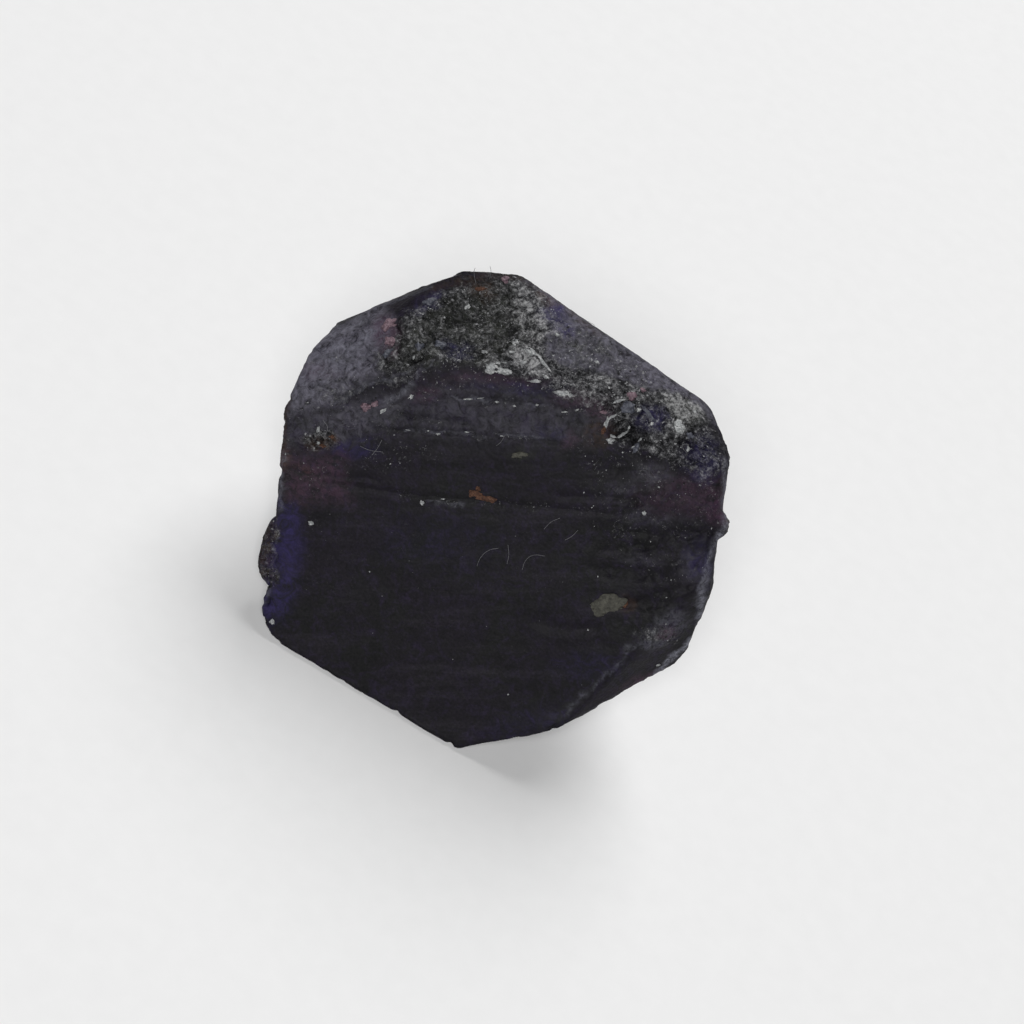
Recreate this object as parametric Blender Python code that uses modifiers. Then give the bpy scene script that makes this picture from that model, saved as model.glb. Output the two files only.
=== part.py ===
"""Rough sapphire: one six-sided corundum crystal lying on one of its side facets.

The crystal is cut upright in its own frame, in millimetres: Z runs along its long axis, the large end
face is the plane Z = 0 with Y climbing it from its lower edge, and the body hangs below that face. It is
then turned to metres and leaned over until its lowest side facet is flat on the ground, with the origin
at the middle of its footprint box.
"""

import math
from dataclasses import dataclass, replace

import bmesh
import bpy
from mathutils import Matrix, Vector

STONE = "rough_sapphire"
MM = 0.001

# Driving dimensions of the crystal, in millimetres and degrees.
MIDDLE = Vector((0.6, 10.0, 0.0))
LENGTH = 12.6
REST_DIP_DEG = 120.0

# The sides lean in more from this depth on, which gives the crystal its barrel shape.
BARREL_DEPTH = 7.5
BARREL_EXTRA_DEG = 5.0

# Edges shorter than LEAST_EDGE are merged so that every edge can be rounded. The merging may lift a
# corner off the rest facet, which is then trimmed flat again.
LEAST_EDGE = 0.8
REST_TRIM = 0.04
FLAT_WITHIN_DEG = 1.0
EDGE_ROUNDING = 0.3
EDGE_SEGMENTS = 3
LEAST_BEVEL_ANGLE_DEG = 8.0

# Colour of the fresh crystal, as linear RGB.
BODY_COLOUR = (0.020, 0.016, 0.026, 1.0)
BODY_ROUGHNESS = 0.5


@dataclass(frozen=True)
class Facet:
    """A flat face of the crystal.

    turn_deg is the way it faces around the long axis, 0 towards +X and 90 up the end face. reach is
    how far from MIDDLE its plane crosses the end face. dip_deg is how steeply it falls away from the end
    face: 90 is a straight side, and more than 90 leans in towards the back.
    """

    turn_deg: float
    reach: float
    dip_deg: float

    def sideways(self):
        turn = math.radians(self.turn_deg)
        return Vector((math.cos(turn), math.sin(turn), 0.0))

    def outward(self):
        dip = math.radians(self.dip_deg)
        return self.sideways() * math.sin(dip) + Vector((0.0, 0.0, math.cos(dip)))

    def point(self):
        return MIDDLE + self.sideways() * self.reach

    def reach_at(self, depth):
        """How far from the long axis the facet is at a depth behind the end face."""
        return self.reach - depth * math.tan(math.radians(self.dip_deg - 90.0))

    def behind(self, depth, extra_deg):
        """The facet that takes over at a depth and leans in more, as on a barrel-shaped crystal."""
        steeper = replace(self, dip_deg=self.dip_deg + extra_deg)
        gain = self.reach_at(depth) - steeper.reach_at(depth)
        return replace(steeper, reach=steeper.reach + gain)


# The side that the stone rests on, and the other five of the tapering prism.
REST = Facet(-90.0, MIDDLE.y, REST_DIP_DEG)
SIDES = {
    "low_right": Facet(-38.0, 11.2, 125.0),
    "right": Facet(20.4, 11.58, 118.0),
    "top": Facet(86.0, 10.75, 101.0),
    "upper_left": Facet(144.0, 11.6, 101.0),
    "left": Facet(204.2, 9.65, 117.0),
}

# Blunt corners between the sides.
CORNERS = {
    "foot_right": Facet(-46.0, 10.25, 121.0),
    "right_corner": Facet(-8.0, 12.5, 121.0),
    "high_corner": Facet(52.0, 12.05, 102.0),
    "apex": Facet(117.0, 12.1, 103.0),
    "left_corner": Facet(172.0, 12.1, 108.0),
    "foot_left": Facet(231.0, 11.3, 114.0),
}

# Worn and broken slopes between the end face and the sides.
SLOPES = {
    "top_slope": Facet(108.0, 7.35, 46.0),
    "top_right_slope": Facet(83.0, 8.98, 50.0),
    "shoulder": Facet(141.0, 8.25, 34.0),
    "shoulder_roll": Facet(143.0, 9.75, 66.0),
    "low_right_chip": Facet(-12.0, 9.05, 46.0),
    "right_rim": Facet(22.0, 10.38, 60.0),
}


@dataclass(frozen=True)
class Plane:
    """A cut given by a point and an outward direction, for the back end of the crystal."""

    point: Vector
    outward: Vector


BACK_END = {
    "small_end_face": Plane(Vector((0.0, 0.0, -LENGTH)), Vector((0.03, -0.05, -1.0))),
    "fracture": Plane(Vector((-4.6, 12.0, -LENGTH + 1.5)), Vector((-0.60, 0.34, -0.72))),
    "back_step": Plane(Vector((3.6, 14.6, -LENGTH + 1.3)), Vector((0.26, 0.60, -0.76))),
    "back_corner": Plane(Vector((6.0, 8.4, -LENGTH + 1.8)), Vector((0.66, -0.30, -0.69))),
}


@dataclass(frozen=True)
class Lump:
    """An egg-shaped lump of crust grown onto a side, just behind the end face.

    turn_deg is the way its long axis runs around the crystal's own, and half_long and half_wide are
    half its length and half its width.
    """

    centre: Vector
    turn_deg: float
    half_long: float
    half_wide: float


LUMPS = {
    "left_knob": Lump(Vector((-6.78, 3.85, -1.40)), 118.0, 1.85, 0.98),
    "right_bump": Lump(Vector((9.74, 15.60, -0.90)), 110.0, 0.78, 0.60),
}
LUMP_DETAIL = 4


def clear_scene():
    for old in list(bpy.data.objects):
        bpy.data.objects.remove(old, do_unlink=True)


def new_collection(name):
    collection = bpy.data.collections.new(name)
    bpy.context.scene.collection.children.link(collection)
    return collection


def new_object(name, bm, collection):
    """An object from a shape in the crystal's frame, leaned over and turned from millimetres to metres."""
    lean = Matrix.Rotation(math.radians(180.0 - REST_DIP_DEG), 4, "X")
    bm.transform(Matrix.Scale(MM, 4) @ lean)
    mesh = bpy.data.meshes.new(name)
    bm.to_mesh(mesh)
    bm.free()
    made = bpy.data.objects.new(name, mesh)
    collection.objects.link(made)
    return made


def corundum():
    material = bpy.data.materials.new("rough_corundum")
    material.use_nodes = True
    shader = material.node_tree.nodes["Principled BSDF"]
    shader.inputs["Base Color"].default_value = BODY_COLOUR
    shader.inputs["Roughness"].default_value = BODY_ROUGHNESS
    shader.inputs["Metallic"].default_value = 0.0
    return material


def cut(bm, point, outward):
    """Slice away what lies beyond a plane and close the cut with one face."""
    everything = bm.verts[:] + bm.edges[:] + bm.faces[:]
    result = bmesh.ops.bisect_plane(
        bm, geom=everything, dist=1e-5, plane_co=point, plane_no=outward, clear_outer=True
    )
    rim = [item for item in result["geom_cut"] if isinstance(item, bmesh.types.BMEdge)]
    if rim:
        bmesh.ops.edgeloop_fill(bm, edges=rim)


def crystal_body():
    """The faceted crystal in its upright frame, cut plane by plane from a block."""
    bm = bmesh.new()
    block = Matrix.Translation(MIDDLE - Vector((0.0, 0.0, LENGTH))) @ Matrix.Scale(2.0 * LENGTH, 4)
    bmesh.ops.create_cube(bm, size=1.0, matrix=block)
    back_sides = [side.behind(BARREL_DEPTH, BARREL_EXTRA_DEG) for side in SIDES.values()]
    for facet in (REST, *SIDES.values(), *CORNERS.values(), *SLOPES.values(), *back_sides):
        cut(bm, facet.point(), facet.outward())
    for plane in BACK_END.values():
        cut(bm, plane.point, plane.outward.normalized())
    bmesh.ops.remove_doubles(bm, verts=bm.verts[:], dist=LEAST_EDGE)
    bmesh.ops.triangulate(bm, faces=bm.faces[:])
    cut(bm, REST.point() - REST.outward() * REST_TRIM, REST.outward())
    bmesh.ops.remove_doubles(bm, verts=bm.verts[:], dist=LEAST_EDGE / 4.0)
    flat_within = math.radians(FLAT_WITHIN_DEG)
    bmesh.ops.dissolve_limit(bm, angle_limit=flat_within, verts=bm.verts[:], edges=bm.edges[:])
    bmesh.ops.recalc_face_normals(bm, faces=bm.faces[:])
    return bm


def lump_shape(lump):
    bm = bmesh.new()
    turned = Matrix.Translation(lump.centre) @ Matrix.Rotation(math.radians(lump.turn_deg), 4, "Z")
    place = turned @ Matrix.Diagonal((lump.half_long, lump.half_wide, lump.half_wide, 1.0))
    bmesh.ops.create_icosphere(bm, subdivisions=LUMP_DETAIL, radius=1.0, matrix=place)
    return bm


def round_the_edges(stone):
    bevel = stone.modifiers.new("worn_edges", "BEVEL")
    bevel.width = EDGE_ROUNDING * MM
    bevel.segments = EDGE_SEGMENTS
    bevel.limit_method = "ANGLE"
    bevel.angle_limit = math.radians(LEAST_BEVEL_ANGLE_DEG)
    bevel.use_clamp_overlap = True


def grow_on(stone, tool):
    """Join a lump to the stone, so that both are one solid."""
    union = stone.modifiers.new(tool.name, "BOOLEAN")
    union.operation = "UNION"
    union.solver = "EXACT"
    union.object = tool
    tool.hide_render = True
    tool.display_type = "WIRE"
    tool.parent = stone


def stand_on_origin(stone):
    """Move the stone so that the middle of its footprint box is at the origin."""
    bpy.context.view_layer.update()
    shape = stone.evaluated_get(bpy.context.evaluated_depsgraph_get()).to_mesh()
    low = Vector([min(vertex.co[axis] for vertex in shape.vertices) for axis in range(3)])
    high = Vector([max(vertex.co[axis] for vertex in shape.vertices) for axis in range(3)])
    stone.location = (-(low.x + high.x) / 2.0, -(low.y + high.y) / 2.0, -low.z)


def main():
    clear_scene()
    parts = new_collection(STONE)
    tools = new_collection("stone_tools")
    stone = new_object(STONE, crystal_body(), parts)
    stone.data.materials.append(corundum())
    round_the_edges(stone)
    for name, lump in LUMPS.items():
        grow_on(stone, new_object(name, lump_shape(lump), tools))
    stand_on_origin(stone)


main()
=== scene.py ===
"""Looks of the rough sapphire: one near-black violet corundum crystal with crust on its broken top.

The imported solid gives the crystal's facets. Here its surface is rebuilt fine enough to carry what the
stone really shows: growth lines and grooves on the end face, rubble on the slopes, steps round the sides
and a broken back. Small things that sit on it are meshes of their own. Shapes are worked out in the
crystal's own frame, in millimetres, where Z is the long axis and the end face is Z = 0. Places that are
read off the photograph are given in pixels of its 1024 by 1024 frame, and are found on the stone by
following the camera's line of sight.
"""

import itertools
import logging
import math
from dataclasses import dataclass, field
from enum import Enum
from functools import partial
from typing import Any, Iterable, Sequence

import bmesh
import bpy
import numpy as np
from mathutils import Matrix, Vector
from mathutils.bvhtree import BVHTree


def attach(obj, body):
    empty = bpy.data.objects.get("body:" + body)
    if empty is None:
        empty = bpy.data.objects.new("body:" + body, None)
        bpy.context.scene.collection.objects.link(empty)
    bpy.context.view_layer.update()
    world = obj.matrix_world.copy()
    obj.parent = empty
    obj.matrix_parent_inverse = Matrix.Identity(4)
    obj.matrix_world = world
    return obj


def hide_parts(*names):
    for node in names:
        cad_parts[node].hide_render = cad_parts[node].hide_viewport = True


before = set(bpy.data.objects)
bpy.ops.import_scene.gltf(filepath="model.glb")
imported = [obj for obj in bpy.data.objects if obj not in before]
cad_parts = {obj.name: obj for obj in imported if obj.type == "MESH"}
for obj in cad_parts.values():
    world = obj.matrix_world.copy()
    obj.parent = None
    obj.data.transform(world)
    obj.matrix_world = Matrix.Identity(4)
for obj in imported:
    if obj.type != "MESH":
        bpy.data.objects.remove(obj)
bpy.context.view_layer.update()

LOG = logging.getLogger("rough_sapphire")

STONE_NODE = "rough_sapphire"
BODY = "root"
MM = 0.001

Pixel = tuple[float, float]
Array = np.ndarray
Tree = bpy.types.NodeTree
Socket = bpy.types.NodeSocket
# Where an effect starts, and where it is full.
Fade = tuple[float, float]


def linear(hex_colour: str, alpha: float = 1.0) -> tuple[float, float, float, float]:
    """Turn an sRGB hex colour into the linear colour that Blender's sockets take.

    Args:
        hex_colour: Six hex digits, with or without a leading hash.
        alpha: The fourth value of the result.

    Returns:
        Red, green, blue and alpha, linear.
    """
    digits = hex_colour.lstrip("#")
    parts = [int(digits[place:place + 2], 16) / 255.0 for place in (0, 2, 4)]
    red, green, blue = (p / 12.92 if p <= 0.04045 else ((p + 0.055) / 1.055) ** 2.4 for p in parts)
    return (red, green, blue, alpha)


def add_node(tree: Tree, kind: str, inputs: dict[str | int, Any] | None = None, out: str | int = 0,
             **settings: Any) -> Socket | None:
    """Add a node with its settings, its input values and its incoming links.

    Args:
        tree: The node tree to add to.
        kind: The node's type name.
        inputs: Value or output socket for each input, by socket name or number.
        out: Which output to give back, by name or number.
        settings: Property values. "ramp" gives colour ramp stops as (place, hex colour) pairs.

    Returns:
        The output, if the node has any.
    """
    node = tree.nodes.new(kind)
    for name, value in settings.items():
        if name == "ramp":
            stops = node.color_ramp.elements
            while len(stops) < len(value):
                stops.new(1.0)
            for stop, (place, colour) in zip(stops, value):
                stop.position = place
                stop.color = linear(colour)
        else:
            setattr(node, name, value)
    for name, value in (inputs or {}).items():
        socket = node.inputs[name]
        if isinstance(value, Socket):
            tree.links.new(value, socket)
        else:
            socket.default_value = value
    return node.outputs[out] if node.outputs else None


def new_object(name: str, data: bpy.types.ID) -> bpy.types.Object:
    """Put a mesh, curve, lamp or camera into the scene.

    Args:
        name: The object's name.
        data: What the object shows.

    Returns:
        The new object, at the origin.
    """
    made = bpy.data.objects.new(name, data)
    bpy.context.scene.collection.objects.link(made)
    return made


def new_material(name: str, roughness: float, specular: float) -> bpy.types.Material:
    """Start a material.

    Args:
        name: The material's name.
        roughness: How rough its surface is.
        specular: How strongly its surface mirrors.

    Returns:
        The material, with a plain shader node in it.
    """
    made = bpy.data.materials.new(name)
    made.use_nodes = True
    sockets = made.node_tree.nodes["Principled BSDF"].inputs
    sockets["Roughness"].default_value = roughness
    sockets["Specular IOR Level"].default_value = specular
    return made


def smooth(low: float, high: float, value: Array) -> Array:
    """Ease from 0 at low to 1 at high, for arrays; low may be the larger of the two."""
    share = np.clip((value - low) / (high - low), 0.0, 1.0)
    return share * share * (3.0 - 2.0 * share)


class Noise:
    """Repeatable noise on arrays of points."""

    MIXERS = (0x8DA6B343, 0xD8163841, 0xCB1AB31F)
    STIRRERS = ((15, 0x2C1B3C6D), (12, 0x297A2D39))
    SEED_MIXER = 0x9E3779B1
    WORD = 0xFFFFFFFF
    TEN_BITS = 1023
    # What brings the noise to about -1 to 1, and how far a pebble strays from the middle of its cell.
    GAIN = 1.5
    STRAY = 0.45
    FAR = 9.0

    @classmethod
    def scatter(cls, cells: Array, seed: int) -> Array:
        """Give each whole-number cell a random 32-bit number.

        Args:
            cells: Whole-number coordinates, N by 3.
            seed: Which family of random numbers to use.

        Returns:
            N unsigned numbers.
        """
        whole = cells.astype(np.uint32)
        mixed = np.full(len(cells), (seed * cls.SEED_MIXER) & cls.WORD, np.uint32)
        for axis, mixer in enumerate(cls.MIXERS):
            mixed ^= whole[:, axis] * np.uint32(mixer)
        for shift, stirrer in cls.STIRRERS:
            mixed = (mixed ^ (mixed >> np.uint32(shift))) * np.uint32(stirrer)
        return mixed ^ (mixed >> np.uint32(cls.STIRRERS[0][0]))

    @classmethod
    def signed(cls, bits: Array, shift: int) -> Array:
        """Ten bits of a random number as a value from -1 to 1."""
        chosen = (bits >> np.uint32(shift)) & np.uint32(cls.TEN_BITS)
        return chosen.astype(np.float32) / (cls.TEN_BITS / 2.0) - 1.0

    @classmethod
    def plain(cls, points: Array, seed: int) -> Array:
        """Gradient noise of one size.

        Args:
            points: Places, N by 3, where one unit is the size of a wave.
            seed: Which noise to use.

        Returns:
            N values, mostly within -1 to 1, around 0.
        """
        base = np.floor(points)
        part = (points - base).astype(np.float32)
        ease = part * part * part * (part * (part * 6.0 - 15.0) + 10.0)
        cells = base.astype(np.int64)
        total = np.zeros(len(points), np.float32)
        for corner in itertools.product((0, 1), repeat=3):
            bits = cls.scatter(cells + np.array(corner), seed)
            slope = np.zeros(len(points), np.float32)
            weight = np.ones(len(points), np.float32)
            for axis, side in enumerate(corner):
                slope += cls.signed(bits, 10 * axis) * (part[:, axis] - side)
                weight *= ease[:, axis] if side else 1.0 - ease[:, axis]
            total += slope * weight
        return total * cls.GAIN

    @classmethod
    def pebbles(cls, points: Array, size: float, seed: int) -> tuple[Array, Array]:
        """Rounded cells packed side by side, like gravel.

        Args:
            points: Places in millimetres, N by 3.
            size: The usual distance between neighbours.
            seed: Which layout to use.

        Returns:
            How far from the nearest wall between two pebbles, and a random value for each pebble.
        """
        scaled = points / size
        base = np.floor(scaled)
        nearest = np.full(len(points), cls.FAR, np.float32)
        second = nearest.copy()
        own = np.zeros(len(points), np.float32)
        for step in itertools.product((-1, 0, 1), repeat=3):
            cell = base + np.array(step)
            bits = cls.scatter(cell.astype(np.int64), seed)
            away = np.zeros(len(points), np.float32)
            for axis in range(3):
                middle = cell[:, axis] + 0.5 + cls.STRAY * cls.signed(bits, 10 * axis)
                away += (scaled[:, axis] - middle) ** 2
            closer = away < nearest
            second = np.where(closer, nearest, np.minimum(second, away))
            own = np.where(closer, cls.signed(bits, 7), own)
            nearest = np.minimum(nearest, away)
        return np.sqrt(second) - np.sqrt(nearest), own * 0.5 + 0.5


@dataclass(frozen=True)
class Wave:
    """Layered noise: the size of its largest waves in millimetres, and the gain of each finer layer."""

    size: float
    seed: int
    layers: int = 4
    gain: float = 0.5

    def at(self, points: Array) -> Array:
        """The noise at places on the stone.

        Args:
            points: Places in millimetres, N by 3.

        Returns:
            N values, mostly within -1 to 1, around 0.
        """
        total = np.zeros(len(points), np.float32)
        strength = 1.0
        whole = 0.0
        for layer in range(self.layers):
            total += strength * Noise.plain(points / self.size * 2.0 ** layer, self.seed + layer)
            whole += strength
            strength *= self.gain
        return total / math.sqrt(whole)


@dataclass(frozen=True)
class CrystalFrame:
    """Where the crystal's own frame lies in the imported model.

    The crystal leans over about X until its lowest side facet is flat on the ground.
    """

    origin: Vector = Vector((-0.7410, -9.2876, -0.0400))
    lean_deg: float = 60.0

    def to_row(self) -> Matrix:
        """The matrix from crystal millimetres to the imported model's metres."""
        turned = Matrix.Translation(self.origin) @ Matrix.Rotation(math.radians(self.lean_deg), 4, "X")
        return Matrix.Scale(MM, 4) @ turned

    def down(self) -> Vector:
        """The way to the ground, in the crystal's frame."""
        lean = math.radians(self.lean_deg)
        return Vector((0.0, -math.sin(lean), -math.cos(lean)))


@dataclass(frozen=True)
class PhotoView:
    """The photograph's point of view, in the crystal's frame.

    The camera looks at the end face from a little above its normal, and is rolled, so that the growth
    lines run level in the picture.
    """

    aim: Vector = Vector((1.48, 11.44, 0.0))
    distance: float = 116.4
    above_normal_deg: float = 15.0
    roll_deg: float = 30.7
    lens_mm: float = 90.0
    sensor_mm: float = 36.0
    frame_px: float = 1024.0

    def towards(self) -> Vector:
        """From the stone to the camera."""
        above = math.radians(self.above_normal_deg)
        return Vector((0.0, math.sin(above), math.cos(above)))

    def sideways(self) -> tuple[Vector, Vector]:
        """The picture's right and its down."""
        above = math.radians(self.above_normal_deg)
        roll = math.radians(self.roll_deg)
        right = Vector((1.0, 0.0, 0.0))
        up = Vector((0.0, math.cos(above), -math.sin(above)))
        return (right * math.cos(roll) + up * math.sin(roll), right * math.sin(roll) - up * math.cos(roll))

    def eye(self) -> Vector:
        """Where the camera is."""
        return self.aim + self.towards() * self.distance

    def focal_px(self) -> float:
        """The lens's focal length in pixels of the photograph."""
        return self.lens_mm / self.sensor_mm * self.frame_px

    def ray(self, pixel: Pixel) -> Vector:
        """The line of sight through a pixel, from the eye onwards."""
        right, down = self.sideways()
        middle = self.frame_px / 2.0
        across = right * (pixel[0] - middle) + down * (pixel[1] - middle)
        return (across / self.focal_px() - self.towards()).normalized()

    def project(self, points: Array) -> Array:
        """Where points show in the photograph.

        Args:
            points: Crystal millimetres, N by 3.

        Returns:
            Pixels, N by 2.
        """
        right, down = (np.array(axis) for axis in self.sideways())
        offset = points - np.array(self.eye())
        depth = -offset @ np.array(self.towards())
        scale = self.focal_px() / depth
        middle = self.frame_px / 2.0
        return np.stack([middle + offset @ right * scale, middle + offset @ down * scale], axis=1)


@dataclass(frozen=True, kw_only=True)
class Mark:
    """A shape on the side of the stone that faces the camera, in pixels of the photograph.

    soft is how wide its edge fades, and strength is its value inside.
    """

    soft: float = 4.0
    strength: float = 1.0

    def distance(self, at: Array) -> Array:
        """How far outside the shape each place is, less than 0 inside."""
        raise NotImplementedError

    def weight(self, at: Array) -> Array:
        """How strongly the shape covers each place."""
        return self.strength * smooth(self.soft, -self.soft, self.distance(at))


@dataclass(frozen=True)
class Oval(Mark):
    """An oval patch."""

    x: float
    y: float
    wide: float
    high: float
    turn_deg: float = 0.0

    def distance(self, at: Array) -> Array:
        """How far outside the oval each place is, less than 0 inside."""
        turn = math.radians(self.turn_deg)
        across = at[:, 0] - self.x
        along = at[:, 1] - self.y
        first = (across * math.cos(turn) + along * math.sin(turn)) / self.wide
        other = (along * math.cos(turn) - across * math.sin(turn)) / self.high
        return (np.sqrt(first ** 2 + other ** 2) - 1.0) * min(self.wide, self.high)


@dataclass(frozen=True)
class Trace(Mark):
    """A line through a few points, of a given width."""

    points: tuple[Pixel, ...]
    width: float = 2.0

    def distance(self, at: Array) -> Array:
        """How far outside the line's width each place is, less than 0 inside."""
        return nearest_on_path(at, self.points) - self.width / 2.0


@dataclass(frozen=True)
class Area(Mark):
    """A patch with corners."""

    points: tuple[Pixel, ...]

    def distance(self, at: Array) -> Array:
        """How far outside the outline each place is, less than 0 inside."""
        closed = (*self.points, self.points[0])
        away = nearest_on_path(at, closed)
        inside = np.zeros(len(at), bool)
        for (x0, y0), (x1, y1) in itertools.pairwise(closed):
            if y0 == y1:
                continue
            between = (at[:, 1] < y0) != (at[:, 1] < y1)
            crossing = x0 + (at[:, 1] - y0) * (x1 - x0) / (y1 - y0)
            inside ^= between & (at[:, 0] < crossing)
        return np.where(inside, -away, away)


def nearest_on_path(at: Array, points: Sequence[Pixel]) -> Array:
    """Distance from each place to a path of straight stretches.

    Args:
        at: Places, N by 2.
        points: The path's corners.

    Returns:
        N distances.
    """
    best = np.full(len(at), np.inf)
    for start, end in itertools.pairwise(points):
        begin = np.array(start, float)
        run = np.array(end, float) - begin
        share = np.clip((at - begin) @ run / max(run @ run, 1e-9), 0.0, 1.0)
        gap = at - begin - share[:, None] * run
        best = np.minimum(best, np.hypot(gap[:, 0], gap[:, 1]))
    return best


class Look(Enum):
    """What is painted onto the stone as attributes for its material and for what is scattered on it."""

    CRUST = "crust"
    # Pale film, with painted sheen where slopes face up to the light.
    VEIL = "veil"
    # Frosted film, with painted highlights along edges, ridges and the lips of grooves.
    FROST = "frost"
    PALE = "pale"
    BLUE = "blue"
    MAROON = "maroon"
    RUST = "rust"
    GREEN = "green"
    # Painted shade in hollows, grooves and pits and along the edge by the ground, with dark patches on the
    # hidden sides.
    HOLLOW = "hollow"
    # Pale flecks of dust and mica, with painted glints among them.
    SPECKS = "specks"


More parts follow.
